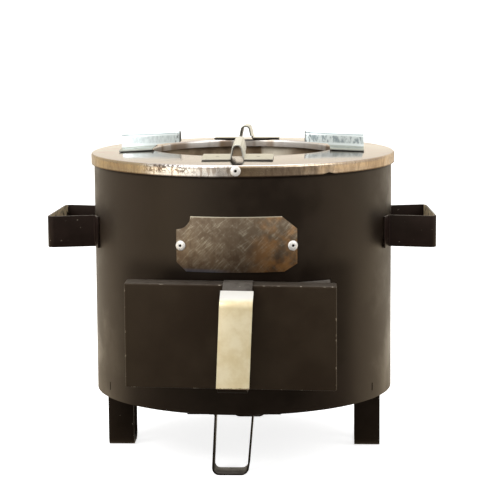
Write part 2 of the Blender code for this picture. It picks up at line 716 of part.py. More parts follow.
def add_rivet(name, angle, height, seat, material, parent):
    """A blind rivet: domed head with its pin's pit, shank, and a tail inside the body."""
    under = seat - (BODY_INSIDE - GAP)
    tail = under + RIVET_TAIL_LENGTH
    profile = list(RIVET_DOME)
    profile += [(RIVET_HEAD_RADIUS, GAP), (RIVET_SHANK_RADIUS, GAP),
                (RIVET_SHANK_RADIUS, -under), (RIVET_TAIL_RADIUS, -under),
                (RIVET_TAIL_RADIUS, -tail), (0, -tail)]
    rivet = add_object(name, spun(profile, RIVET_STEPS, closed=False), material, parent)
    rivet.matrix_local = outward(angle, seat, height)


def make_rivets(material, parent):
    seat = BODY_RADIUS + GAP + NAME_PLATE_SHEET
    for side, angle in zip(("left", "right"), name_rivet_angles()):
        add_rivet("name_plate_rivet_" + side, angle, NAME_RIVET_Z, seat, material, parent)
    for number, angle in enumerate(rim_rivet_angles(), start=1):
        add_rivet("rim_rivet_%d" % number, angle, RIM_RIVET_Z, PLATE_RADIUS, material, parent)


def main():
    for obj in list(bpy.data.objects):
        bpy.data.objects.remove(obj, do_unlink=True)
    materials = make_materials()
    axis = add_empty("stove_axis", (0, AXIS_Y, 0))
    make_body_shell(materials["paint"], axis)
    make_base_plate(materials["paint"], axis)
    make_top_plate(materials["polished"], axis)
    make_shelf_plate(materials["paint"], axis)
    make_firebox_liner(materials["fire_steel"], axis)
    make_insulation_ring(materials["wool"], axis)
    make_grate(materials["iron"], axis)
    make_drawer_duct(materials["paint"], axis)
    make_drawer(materials, axis)
    make_pot_rests(materials["galvanised"], axis)
    make_legs(materials["paint"], axis)
    make_side_handles(materials["paint"], axis)
    make_name_plate(materials["plate"], axis)
    make_rivets(materials["aluminium"], axis)


main()
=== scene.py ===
"""The looks of a charcoal stove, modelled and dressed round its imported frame.

The stove is a round sheet-steel body on four strip legs, with a polished ring
plate on top, four folded pot rests, two side loops, a name plate without
lettering and an ash drawer. All sizes are in metres, +Z is up and the drawer
faces -Y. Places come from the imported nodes; sizes that a node's box can't tell
are fields of the class that builds the piece.
"""
from __future__ import annotations

import logging
import math
from dataclasses import dataclass
from enum import Enum
from typing import Callable, Iterator, Sequence

import bpy
from mathutils import Matrix, Vector, noise

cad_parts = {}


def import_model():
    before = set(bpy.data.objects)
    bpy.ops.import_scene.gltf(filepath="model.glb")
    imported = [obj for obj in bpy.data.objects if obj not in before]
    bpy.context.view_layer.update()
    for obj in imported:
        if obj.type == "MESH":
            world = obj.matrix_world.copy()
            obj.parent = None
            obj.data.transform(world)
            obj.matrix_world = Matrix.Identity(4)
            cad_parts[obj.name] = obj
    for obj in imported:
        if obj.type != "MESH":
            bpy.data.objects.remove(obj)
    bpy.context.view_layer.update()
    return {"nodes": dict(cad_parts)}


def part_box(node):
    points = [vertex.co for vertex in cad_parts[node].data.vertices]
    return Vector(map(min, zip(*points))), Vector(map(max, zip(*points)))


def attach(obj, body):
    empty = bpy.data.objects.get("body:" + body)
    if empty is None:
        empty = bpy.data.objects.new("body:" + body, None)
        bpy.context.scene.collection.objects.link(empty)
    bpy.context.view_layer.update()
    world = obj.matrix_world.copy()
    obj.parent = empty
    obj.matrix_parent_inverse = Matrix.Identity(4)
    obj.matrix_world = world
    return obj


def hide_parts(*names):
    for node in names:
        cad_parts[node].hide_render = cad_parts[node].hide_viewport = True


LOG = logging.getLogger("stove")
MM = 0.001
TINY = 0.001 * MM
GAP = 0.3 * MM
NOWHERE = Vector((0, 0, 0))
UP = Vector((0, 0, 1))
FORWARD = Vector((0, -1, 0))
SIDEWAYS = Vector((1, 0, 0))
Pair = tuple[float, float]
Triple = tuple[float, float, float]
Profile = Sequence[Pair]
Ramp = tuple[float, ...]
Inputs = dict[str | int, object]


class Body(Enum):
    """The rigid bodies of the frame."""

    STOVE = "stove"
    DRAWER = "drawer"
    GRATE = "grate"


class Slot(Enum):
    """The record's material slots."""

    PAINT = "black_paint"
    POLISHED = "polished_steel"
    GALVANISED = "galvanised_steel"
    BARE = "bare_steel"
    PLATE = "name_plate_steel"
    RIVET = "rivet_aluminium"
    FIRE = "fire_dark_steel"
    IRON = "cast_iron"


class Side(Enum):
    """The four sides of the round body, in quarter turns from the drawer's side."""

    FRONT = 0
    RIGHT = 1
    REAR = 2
    LEFT = 3

    @property
    def angle(self) -> float:
        """The turn about the body's axis, anticlockwise from above."""
        return self.value * math.pi / 2

    @property
    def label(self) -> str:
        """The side's word in the node names."""
        return self.name.lower()


def srgb(*channels: int) -> Triple:
    """Turns a colour as seen on a screen, 0 to 255, into the linear values that shaders take."""
    shares = [value / 255 for value in channels]
    return tuple(s / 12.92 if s <= 0.04045 else ((s + 0.055) / 1.055) ** 2.4 for s in shares)


@dataclass(frozen=True)
class Span:
    """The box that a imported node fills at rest."""

    low: Vector
    high: Vector

    @classmethod
    def of(cls, node: str) -> Span:
        """Reads a node's box from the frame."""
        return cls(*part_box(node))

    @property
    def centre(self) -> Vector:
        """The middle of the box."""
        return (self.low + self.high) / 2

    @property
    def size(self) -> Vector:
        """The box's three edges."""
        return self.high - self.low


@dataclass(frozen=True)
class DrawerFront:
    """The drawer's folded front: a level box that then droops to the right."""

    bottom: float = 89.2 * MM
    top: float = 185.6 * MM
    droop: float = math.tan(math.radians(1))

    @property
    def span(self) -> Span:
        """The level box."""
        packed = Span.of("drawer_front")
        return Span(Vector((*packed.low.xy, self.bottom)), Vector((*packed.high.xy, self.top)))

    def droop_at(self, spot: Vector) -> Vector:
        """How far a point moves as the front droops."""
        return UP * (self.span.centre.x - spot.x) * self.droop


# Bench work


class Piece:
    """A mesh in the making; its methods are the steps of the bench work."""

    def __init__(self, name: str) -> None:
        """Takes the active object in hand and puts its place into its mesh.

        Args:
            name: what the object and its mesh are called.
        """
        self.object = bpy.context.object
        self.object.name = name
        self.object.data.name = name
        self.settle()

    @classmethod
    def circle(cls, name: str, centre: Vector, radius: float, corners: int) -> Piece:
        """Starts from a ring of edges round the Z axis.

        Args:
            name: the piece's name.
            centre: the ring's middle.
            radius: its radius.
            corners: how many points it has.

        Returns:
            The new piece.
        """
        bpy.ops.mesh.primitive_circle_add(vertices=corners, radius=radius, fill_type="NOTHING",
                                          location=centre)
        return cls(name)

    @classmethod
    def line(cls, name: str, spots: Sequence[Vector]) -> Piece:
        """Starts from one edge of a plane and draws it on from point to point.

        Args:
            name: the piece's name.
            spots: the line's points in order.

        Returns:
            The new piece.
        """
        bpy.ops.mesh.primitive_plane_add(size=1)
        piece = cls(name)
        piece.pick_points(lambda spot: spot.y > 0)
        bpy.ops.mesh.delete(type="VERT")
        piece.close()
        for vertex, spot in zip(piece.object.data.vertices, spots):
            vertex.co = spot
        piece.pick_points(lambda spot: (spot - spots[1]).length < TINY)
        for here, following in zip(spots[1:], spots[2:]):
            piece.push(following - here)
        piece.close()
        return piece

    @classmethod
    def block(cls, name: str, low: Vector, high: Vector) -> Piece:
        """Starts from a cube stretched between two corners."""
        bpy.ops.mesh.primitive_cube_add(size=1, location=(low + high) / 2, scale=high - low)
        return cls(name)

    @classmethod
    def rod(cls, name: str, centre: Vector, way: Vector, radius: float, length: float,
            corners: int) -> Piece:
        """Starts from a cylinder along a direction.

        Args:
            name: the piece's name.
            centre: its middle.
            way: the direction of its axis.
            radius: its radius.
            length: its length.
            corners: how many sides it has.

        Returns:
            The new piece.
        """
        bpy.ops.mesh.primitive_cylinder_add(
            vertices=corners, radius=radius, depth=length, location=centre,
            rotation=way.to_track_quat("Z", "Y").to_euler())
        return cls(name)

    def hold(self) -> None:
        """Makes this the only selected object and the active one."""
        bpy.ops.object.select_all(action="DESELECT")
        self.object.select_set(True)
        bpy.context.view_layer.objects.active = self.object

    def settle(self) -> None:
        """Puts the object's place, turn and scale into its mesh."""
        self.hold()
        bpy.ops.object.transform_apply(location=True, rotation=True, scale=True)

    def open(self, kind: str = "VERT", action: str = "SELECT") -> None:
        """Opens the mesh for editing.

        Args:
            kind: VERT, EDGE or FACE.
            action: SELECT or DESELECT, for all of it.
        """
        self.hold()
        bpy.ops.object.mode_set(mode="EDIT")
        bpy.ops.mesh.select_mode(type=kind)
        bpy.ops.mesh.select_all(action=action)

    def close(self) -> None:
        """Ends the editing."""
        bpy.ops.object.mode_set(mode="OBJECT")

    def pick(self, kind: str, items: str, rule: Callable[..., bool]) -> None:
        """Selects parts of the mesh by a rule and leaves it open.

        Args:
            kind: VERT, EDGE or FACE.
            items: the mesh's list that the rule looks through.
            rule: says whether one item is wanted.
        """
        self.open(kind, "DESELECT")
        self.close()
        for item in getattr(self.object.data, items):
            item.select = rule(item)
        bpy.ops.object.mode_set(mode="EDIT")

    def pick_points(self, rule: Callable[[Vector], bool]) -> None:
        """Selects points by their place."""
        self.pick("VERT", "vertices", lambda vertex: rule(vertex.co))

    def push(self, way: Vector) -> None:
        """Extrudes what is selected along a vector."""
        bpy.ops.mesh.extrude_region_move(TRANSFORM_OT_translate={"value": tuple(way)})

    def face_out(self) -> None:
        """Merges doubles and turns every face outwards."""
        self.open()
        bpy.ops.mesh.remove_doubles(threshold=2 * TINY)
        bpy.ops.mesh.normals_make_consistent(inside=False)
        self.close()

    def modify(self, kind: str, **settings: object) -> None:
        """Adds a modifier and applies it at once.

        Args:
            kind: the modifier's type.
            settings: its options.
        """
        self.hold()
        modifier = self.object.modifiers.new(kind.lower(), kind)
        for key, value in settings.items():
            setattr(modifier, key, value)
        bpy.ops.object.modifier_apply(modifier=modifier.name)

    def thicken(self, thickness: float, offset: float = 0.0) -> None:
        """Gives a sheet its thickness; offset -1 grows it inwards and 1 outwards."""
        self.modify("SOLIDIFY", thickness=thickness, offset=offset, use_even_offset=True)

    def soften(self, width: float, degrees: float = 60) -> None:
        """Rounds the edges that are sharper than an angle."""
        self.modify("BEVEL", width=width, segments=2, limit_method="ANGLE",
                    angle_limit=math.radians(degrees))

    def cut(self, cutter: Piece) -> None:
        """Cuts another piece out of this one and clears it away."""
        self.modify("BOOLEAN", operation="DIFFERENCE", solver="EXACT", object=cutter.object)
        bpy.data.objects.remove(cutter.object)

    def slice(self, spot: Vector, normal: Vector, crop: bool = False) -> None:
        """Adds a line of edges where a plane meets the piece.

        Args:
            spot: a point of the plane.
            normal: the plane's normal.
            crop: cuts off what lies on the normal's side and closes the cut.
        """
        self.open()
        bpy.ops.mesh.bisect(plane_co=tuple(spot), plane_no=tuple(normal), use_fill=crop,
                            clear_outer=crop, threshold=TINY)
        self.close()

    def shift(self, move: Callable[[Vector], Vector]) -> None:
        """Moves every point by a rule.

        Args:
            move: says how far a point moves.
        """
        for vertex in self.object.data.vertices:
            vertex.co = vertex.co + move(vertex.co)
        self.object.data.update()

    def smooth(self, degrees: float = 32) -> None:
        """Shades round faces smooth and keeps sharper edges."""
        self.hold()
        bpy.ops.object.shade_smooth_by_angle(angle=math.radians(degrees))

    def copy(self, name: str) -> Piece:
        """Makes a copy with its own mesh.

        Args:
            name: the copy's name.

        Returns:
            The copy.
        """
        self.hold()
        bpy.ops.object.duplicate(linked=False)
        return Piece(name)

    def place(self, matrix: Matrix) -> Piece:
        """Moves the finished mesh by a matrix.

        Args:
            matrix: its place and turn.

        Returns:
            The same piece.
        """
        self.object.matrix_world = matrix
        self.settle()
        return self

    def turn(self, angle: float, centre: Vector) -> Piece:
        """Turns the piece about an upright axis."""
        spun = Matrix.Translation(centre) @ Matrix.Rotation(angle, 4, "Z")
        return self.place(spun @ Matrix.Translation(-centre))

    def copies(self, label: str, axis: Vector) -> Iterator[tuple[Side, Piece]]:
        """Copies the piece to the four sides of the body and clears the first away.

        Args:
            label: the start of the copies' names.
            axis: a point on the body's axis.

        Yields:
            Each side and its copy.
        """
        for side in Side:
            yield side, self.copy(label + side.label).turn(side.angle, axis)
        bpy.data.objects.remove(self.object)

    def fit(self, body: Body, slot: Slot, finish: bpy.types.Material, *nodes: str,
            degrees: float = 32) -> None:
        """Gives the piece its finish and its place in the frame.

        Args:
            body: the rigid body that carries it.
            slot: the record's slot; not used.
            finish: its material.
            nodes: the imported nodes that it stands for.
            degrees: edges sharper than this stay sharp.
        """
        self.smooth(degrees)
        self.object.data.materials.clear()
        self.object.data.materials.append(finish)
        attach(self.object, body.value)
        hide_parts(*nodes)
        LOG.info("%s rides on %s, %d faces", self.object.name, body.value,
                 len(self.object.data.polygons))


def unevenness(spot: Sequence[float], scale: Triple) -> float:
    """Noise round 0 at a point whose axes are stretched."""
    return noise.noise(Vector([place * stretch for place, stretch in zip(spot, scale)]))


def turned(name: str, axis: Vector, profile: Profile, corners: int, closed: bool = True) -> Piece:
    """Raises a round piece ring by ring from its profile.

    Args:
        name: the piece's name.
        axis: a point on its upright axis.
        profile: (radius, height) points, none of them on the axis.
        corners: points round the piece.
        closed: joins the last ring to the first; otherwise both ends are filled.

    Returns:
        The finished wall.
    """
    radius, height = profile[0]
    piece = Piece.circle(name, Vector((*axis.xy, height)), radius, corners)
    piece.open()
    for next_radius, next_height in profile[1:]:
        piece.push(UP * (next_height - height))
        share = next_radius / radius
        bpy.ops.transform.resize(value=(share, share, 1), center_override=(*axis.xy, next_height))
        radius, height = next_radius, next_height
    if closed:
        bpy.ops.mesh.select_mode(type="EDGE")
        bpy.ops.mesh.select_all(action="DESELECT")
        bpy.ops.mesh.select_non_manifold()
        bpy.ops.mesh.bridge_edge_loops()
    else:
        bpy.ops.mesh.select_all(action="SELECT")
        bpy.ops.mesh.fill_holes(sides=0)
    piece.close()
    piece.face_out()
    return piece


def arc(centre: Pair, radius: float, start: float, end: float, steps: int) -> list[Pair]:
    """Points along an arc of a profile; 0 degrees points outwards and 90 up."""
    angles = [math.radians(start + (end - start) * i / steps) for i in range(steps + 1)]
    return [(centre[0] + radius * math.cos(a), centre[1] + radius * math.sin(a)) for a in angles]


def mirrored(corners: Profile) -> list[Pair]:
    """A plan's left half and its mirror image, in order."""
    return list(corners) + [(-x, y) for x, y in reversed(corners)]


@dataclass(frozen=True)
class Bending:
    """How a strip of sheet is bent: the corners of its middle line and their radii.

    The section is given as (off the middle line, sideways) points: two for a flat
    strip, more for a folded one.
    """

    corners: Profile
    radii: Sequence[float]
    section: Profile
    sheet: float
    along: Vector
    rise: Vector = UP
    origin: Vector = NOWHERE
    bend_steps: int = 8
    edge_share: float = 0.22

    def spot(self, corner: Vector) -> Vector:
        """Turns a point of the plan into a point in space."""
        return self.origin + self.along * corner.x + self.rise * corner.y

    def bend(self, name: str) -> Piece:
        """Bends the strip, run by run and corner by corner.

        Args:
            name: the piece's name.

        Returns:
            The bent strip with its thickness and softened edges.
        """
        axis = self.along.cross(self.rise)
        corners = [Vector(corner) for corner in self.corners]
        ways = [(b - a).normalized() for a, b in zip(corners, corners[1:])]
        off = Vector((-ways[0].y, ways[0].x))
        piece = Piece.line(name, [self.spot(corners[0] + off * out) + axis * side
                                  for out, side in self.section])
        piece.open()
        here = corners[0]
        for corner, way, next_way, radius in zip(corners[1:], ways, ways[1:], self.radii):
            angle = math.atan2(way.cross(next_way), way.dot(next_way))
            reach = radius * math.tan(abs(angle) / 2)
            start = corner - way * reach
            piece.push(self.spot(start) - self.spot(here))
            if radius:
                centre = self.spot(start + Vector((-way.y, way.x)) * math.copysign(radius, angle))
                bpy.ops.mesh.spin(steps=self.bend_steps, angle=-angle, center=tuple(centre),
                                  axis=tuple(axis))
            here = corner + next_way * reach
        piece.push(self.spot(corners[-1]) - self.spot(here))
        piece.close()
        piece.face_out()
        piece.thicken(self.sheet)
        piece.soften(self.sheet * self.edge_share)
        return piece


def folded_box(name: str, span: Span, sheet: float, bend: float, open_way: Vector,
               bend_steps: int = 5, edge_share: float = 0.2) -> Piece:
    """Folds a box of sheet that is open on one side.

    Args:
        name: the piece's name.
        span: the outside of the box.
        sheet: the sheet's thickness.
        bend: the folds' outer radius.
        open_way: the direction of the open side.
        bend_steps: how many faces round a fold.
        edge_share: how much of the sheet's thickness its cut edges are rounded by.

    Returns:
        The box.
    """
    box = Piece.block(name, span.low, span.high)
    box.pick("FACE", "polygons", lambda face: face.normal.dot(open_way) > 0.9)
    bpy.ops.mesh.delete(type="ONLY_FACE")
    box.close()
    rim = span.centre.dot(open_way) + abs(span.size.dot(open_way)) / 2
    points = box.object.data.vertices
    box.pick("EDGE", "edges", lambda edge: min(
        points[i].co.dot(open_way) for i in edge.vertices) < rim - TINY)
    bpy.ops.mesh.bevel(offset=bend, segments=bend_steps, profile=0.5, affect="EDGES")
    box.close()
    box.face_out()
    box.thicken(sheet, offset=-1)
    box.soften(sheet * edge_share)
    return box


# Shader building


class Value:
    """A socket of a node tree; the usual sums and comparisons on it add nodes."""

    def __init__(self, graph: Graph, socket: bpy.types.NodeSocket) -> None:
        """Keeps the socket and the graph that it is in."""
        self.graph = graph
        self.socket = socket

    def sum(self, operation: str, *others: Term, output: int = 0) -> Value:
        """Adds one sum on numbers or, where this is a vector, on vectors."""
        kind = "VectorMath" if self.socket.type == "VECTOR" else "Math"
        return self.graph.add(kind, dict(enumerate((self, *others))), output, operation=operation)

    def __add__(self, other: Term) -> Value:
        """Both together."""
        return self.sum("ADD", other)

    def __sub__(self, other: Term) -> Value:
        """This less the other."""
        return self.sum("SUBTRACT", other)

    def __mul__(self, other: Term) -> Value:
        """Both multiplied."""
        return self.sum("MULTIPLY", other)

    def __gt__(self, other: Term) -> Value:
        """1 where this is more than the other."""
        return self.sum("GREATER_THAN", other)

    def __lt__(self, other: Term) -> Value:
        """1 where this is less than the other."""
        return self.sum("LESS_THAN", other)

    def __abs__(self) -> Value:
        """This without its sign."""
        return self.sum("ABSOLUTE")

    def most(self, other: Term) -> Value:
        """The greater of two."""
        return self.sum("MAXIMUM", other)

    def least(self, other: Term) -> Value:
        """The lesser of two."""
        return self.sum("MINIMUM", other)

    def parts(self) -> list[Value]:
        """A vector's three numbers."""
        first = self.graph.add("SeparateXYZ", {0: self})
        return [Value(self.graph, socket) for socket in first.socket.node.outputs]

    def ramp(self, start: float, end: float, low: float = 0.0, high: float = 1.0) -> Value:
        """Runs smoothly from low to high while this goes from start to end.

        Args:
            start: where the run starts.
            end: where it ends.
            low: what it starts with.
            high: what it ends with.

        Returns:
            The run.
        """
        return self.graph.add("MapRange", {"Value": self, "From Min": start, "From Max": end,
                                           "To Min": low, "To Max": high},
                              interpolation_type="SMOOTHSTEP")

    def between(self, rise: Pair, fall: Pair) -> Value:
        """Rises to 1 across the first pair and falls back to 0 across the second."""
        return self.ramp(*rise) * self.ramp(*fall)

    def blend(self, first: Value | Triple, second: Value | Triple) -> Value:
        """Blends from one colour to another with this as the share."""
        return self.graph.add("Mix", {0: self, 6: first, 7: second}, 2, data_type="RGBA")

    def coated(self, *layers: tuple[Value, Value | Triple]) -> Value:
        """Lays colours over this one.

        Args:
            layers: each layer's share and colour, the last one on top.

        Returns:
            The colour.
        """
        colour = self
        for share, tint in layers:
            colour = share.blend(colour, tint)
        return colour

    def cloud(self, scale: Value | float, detail: float) -> Value:
        """Soft noise round 0.5 at this place."""
        return self.graph.add("TexNoise", {"Vector": self, "Scale": scale, "Detail": detail,
                                           "Roughness": 0.6})

    def bump(self, distance: float, strength: float) -> Value:
        """A normal that follows this as a height."""
        return self.graph.add("Bump", {"Height": self, "Distance": distance, "Strength": strength})


Term = Value | float | Triple


class Graph:
    """Builds a node tree in few words."""

    def __init__(self, tree: bpy.types.NodeTree) -> None:
        """Works in the given tree."""
        self.tree = tree

    def feed(self, node: bpy.types.Node, inputs: Inputs) -> None:
        """Links values and sets plain numbers, vectors and colours on a node's inputs.

        Args:
            node: the node.
            inputs: what goes in, by input name or number.
        """
        for key, value in inputs.items():
            target = node.inputs[key]
            if isinstance(value, Value):
                self.tree.links.new(value.socket, target)
            else:
                target.default_value = (*value, 1.0) if target.type == "RGBA" else value

    def add(self, kind: str, inputs: Inputs | None = None, output: int | str = 0,
            **settings: object) -> Value:
        """Adds one shader node.

        Args:
            kind: the node's type without its ShaderNode start.
            inputs: what goes in, by input name or number.
            output: the name or number of the output that is wanted.
            settings: the node's own options.

        Returns:
            The wanted output.
        """
        node = self.tree.nodes.new("ShaderNode" + kind)
        for key, value in settings.items():
            setattr(node, key, value)
        self.feed(node, inputs or {})
        return Value(self, node.outputs[output])

    def join(self, x: Term, y: Term, z: Term = 0.0) -> Value:
        """A vector of three numbers."""
        return self.add("CombineXYZ", {0: x, 1: y, 2: z})

    def spot(self) -> Value:
        """The place on the piece, which is the frame's at rest."""
        return self.add("TexCoord", output="Object")

    def use(self, group: str, inputs: Inputs) -> Value:
        """Adds a shared effect."""
        return self.add("Group", inputs, node_tree=bpy.data.node_groups[group])

    def mottle(self, size: float, start: float = 0.35, end: float = 0.65,
               offset: Triple = (0.0, 0.0, 0.0)) -> Value:
        """Cloudy patches of a size, with a soft or a hard border."""
        return self.use("mottle", {"Scale": 1 / size, "From": start, "To": end, "Offset": offset})

    def grain(self, *stretch: float) -> Value:
        """Fine streaks along the axis with the smallest stretch."""
        return self.use("grain", {"Stretch": stretch})


def add_group(name: str, build: Callable[..., Value], **kinds: str) -> None:
    """Makes a node group that puts out one mask, 0 to 1.

    Args:
        name: the group's name.
        build: adds the nodes; it takes the graph and the inputs in order.
        kinds: each input's name and whether it is a Float or a Vector.
    """
    tree = bpy.data.node_groups.new(name, "ShaderNodeTree")
    for label, kind in kinds.items():
        tree.interface.new_socket(label, in_out="INPUT", socket_type="NodeSocket" + kind)
    tree.interface.new_socket("Mask", in_out="OUTPUT", socket_type="NodeSocketFloat")
    graph = Graph(tree)
    entry = tree.nodes.new("NodeGroupInput")
    mask = build(graph, *(Value(graph, entry.outputs[label]) for label in kinds))
    graph.feed(tree.nodes.new("NodeGroupOutput"), {"Mask": mask})


def mottle_mask(graph: Graph, scale: Value, start: Value, end: Value, offset: Value) -> Value:
    """Cloudy patches with a soft or a hard border."""
    return (graph.spot() + offset).cloud(scale, 5.0).ramp(start, end)


def grain_mask(graph: Graph, stretch: Value) -> Value:
    """Fine streaks along one axis."""
    return (graph.spot() * stretch).cloud(1.0, 3.0)


def fold_wear_and_highlight_mask(graph: Graph, centre: Value, half: Value, width: Value, droop: Value) -> Value:
    """Bare metal along the edges of a box, partly worn paint and partly a painted highlight along
    the folds.

    Args:
        graph: the group's tree.
        centre: the box's middle.
        half: half the box's size.
        width: how far the wear reaches from an edge.
        droop: the slope of the box's level edges.

    Returns:
        The mask.
    """
    x, y, z = (graph.spot() - centre).parts()
    first, second, third = (half - abs(graph.join(x, y, z + x * droop))).parts()
    middle = first.least(second).most(first.most(second).least(third))
    ragged = (graph.spot().cloud(180.0, 4.0) - 0.38).most(0.0)
    return middle < width * (ragged * 5.0)


@dataclass(frozen=True)
class Finish:
    """What every finish has: a name, and a look that its fields describe."""

    name: str

    def look(self, graph: Graph) -> Inputs:
        """Builds the look.

        Args:
            graph: the material's tree.

        Returns:
            The shader's inputs.
        """
        raise NotImplementedError

    def make(self) -> bpy.types.Material:
        """Makes the material.

        Returns:
            The material, with one shader.
        """
        material = bpy.data.materials.new(self.name)
        material.use_nodes = True
        graph = Graph(material.node_tree)
        graph.feed(material.node_tree.nodes["Principled BSDF"], self.look(graph))
        return material


@dataclass(frozen=True)
class Paint(Finish):
    """Satin heat-resistant black paint on sheet, a little uneven and dusty; its level faces are
    lightened, partly as dusty patches and partly as painted top light.

    The dull zone holds two heights, and both dull bands are painted shade: the front shines less
    from the first one up to dull_reach above it, over the drawer, and just under the second one,
    where the ring shades it.
    """

    deep: Triple = srgb(16, 10, 7)
    worn: Triple = srgb(30, 22, 16)
    dust_and_top_light: Triple = srgb(140, 134, 127)
    metal: Triple = srgb(190, 178, 158)
    painted_reflection: Triple = srgb(222, 202, 166)
    sheen: Triple = (1.0, 0.84, 0.68)
    dust_and_top_light_share: float = 0.45
    gloss: float = 0.34
    roughness: Pair = (0.36, 0.5)
    patch_size: float = 70 * MM
    chipped: float = 0.0
    painted_reflection_beyond: float = 0.0
    worn_and_highlit_front: DrawerFront | None = None
    wear_and_highlight_width: float = 0.65 * MM
    dull_zone: Pair | None = None
    dull_sides: Pair = (125 * MM, 90 * MM)
    dull_reach: float = 28 * MM
    dull_share: float = 0.45
    shade: Ramp = (-3 * MM, -1 * MM, 1.0, 0.3)

    def look(self, graph: Graph) -> Inputs:
        """Paint with dusty patches and painted top light on its level faces, and any worn paint,
        painted highlight and painted reflection that its fields ask for.

        Args:
            graph: the material's tree.

        Returns:
            The shader's inputs.
        """
        x, y, height = graph.spot().parts()
        normal = graph.add("NewGeometry", output="Normal").parts()
        patches = graph.mottle(self.patch_size)
        # Level faces get a pale colour: partly settled dusty patches, partly painted light from
        # above.
        dust_and_top_light_mask = normal[2].ramp(0.5, 0.95) * graph.mottle(9 * MM, 0.1, 0.6, (0.3, 0.1, 0.0))
        layers = [(dust_and_top_light_mask * self.dust_and_top_light_share, self.dust_and_top_light)]
        metallic: Value | float = 0.0
        # Pale metal along the drawer front's folds: partly worn paint, partly a painted highlight.
        if self.worn_and_highlit_front:
            span = self.worn_and_highlit_front.span
            wear_and_highlight = graph.use("fold wear", {"Centre": span.centre, "Half": span.size / 2,
                                           "Width": self.wear_and_highlight_width,
                                           "Droop": self.worn_and_highlit_front.droop})
            layers.append((wear_and_highlight, self.metal))
            metallic = wear_and_highlight * 0.7
        if self.chipped:
            chips = graph.mottle(4 * MM, 0.68, 0.72, (0.0, 0.4, 0.0))
            layers.append((chips * self.chipped, self.metal))
        # Faces far out that turn towards the axis, the handles' inner end walls, get a pale tan as a
        # painted reflection.
        if self.painted_reflection_beyond:
            turned_in = x * normal[0] < -self.painted_reflection_beyond
            layers.append((turned_in * graph.mottle(7 * MM, 0.35, 0.5), self.painted_reflection))
        gloss: Value | float = self.gloss
        # Painted shade: the body shines less above the drawer and just under the ring.
        if self.dull_zone:
            low, high = self.dull_zone
            dull = abs(x).ramp(*self.dull_sides) * height.ramp(low + self.dull_reach, low)
            gloss = ((y < 0.0) * dull).ramp(0.0, 1.0, self.gloss, self.gloss * self.dull_share)
            gloss = gloss * (height - high).ramp(*self.shade)
        peel = graph.mottle(1.4 * MM, 0.2, 0.8)
        return {"Base Color": patches.blend(self.deep, self.worn).coated(*layers),
                "Metallic": metallic, "Specular IOR Level": gloss, "Specular Tint": self.sheen,
                "Roughness": patches.ramp(0.0, 1.0, *self.roughness),
                "Normal": peel.bump(0.03 * MM, 0.5)}


@dataclass(frozen=True)
class Steel(Finish):
    """Bare metal with stains and grain."""

    bright: Triple
    stain: Triple
    stain_size: float = 30 * MM
    roughness: Pair = (0.4, 0.6)
    stretch: Triple = (700.0, 700.0, 25.0)
    grain_share: float = 0.15
    grain_height: float = 0.02 * MM
    metallic: float = 1.0

    def look(self, graph: Graph) -> Inputs:
        """Stains under a darker grain.

        Args:
            graph: the material's tree.

        Returns:
            The shader's inputs.
        """
        stain = graph.mottle(self.stain_size, 0.5, 0.8)
        grain = graph.grain(*self.stretch)
        shade = tuple(channel * 0.3 for channel in self.stain)
        colour = stain.blend(self.bright, self.stain).coated((grain * self.grain_share, shade))
        return {"Base Color": colour, "Metallic": self.metallic,
                "Roughness": stain.most(grain).ramp(0.0, 1.0, *self.roughness),
                "Normal": grain.bump(self.grain_height, 0.6)}


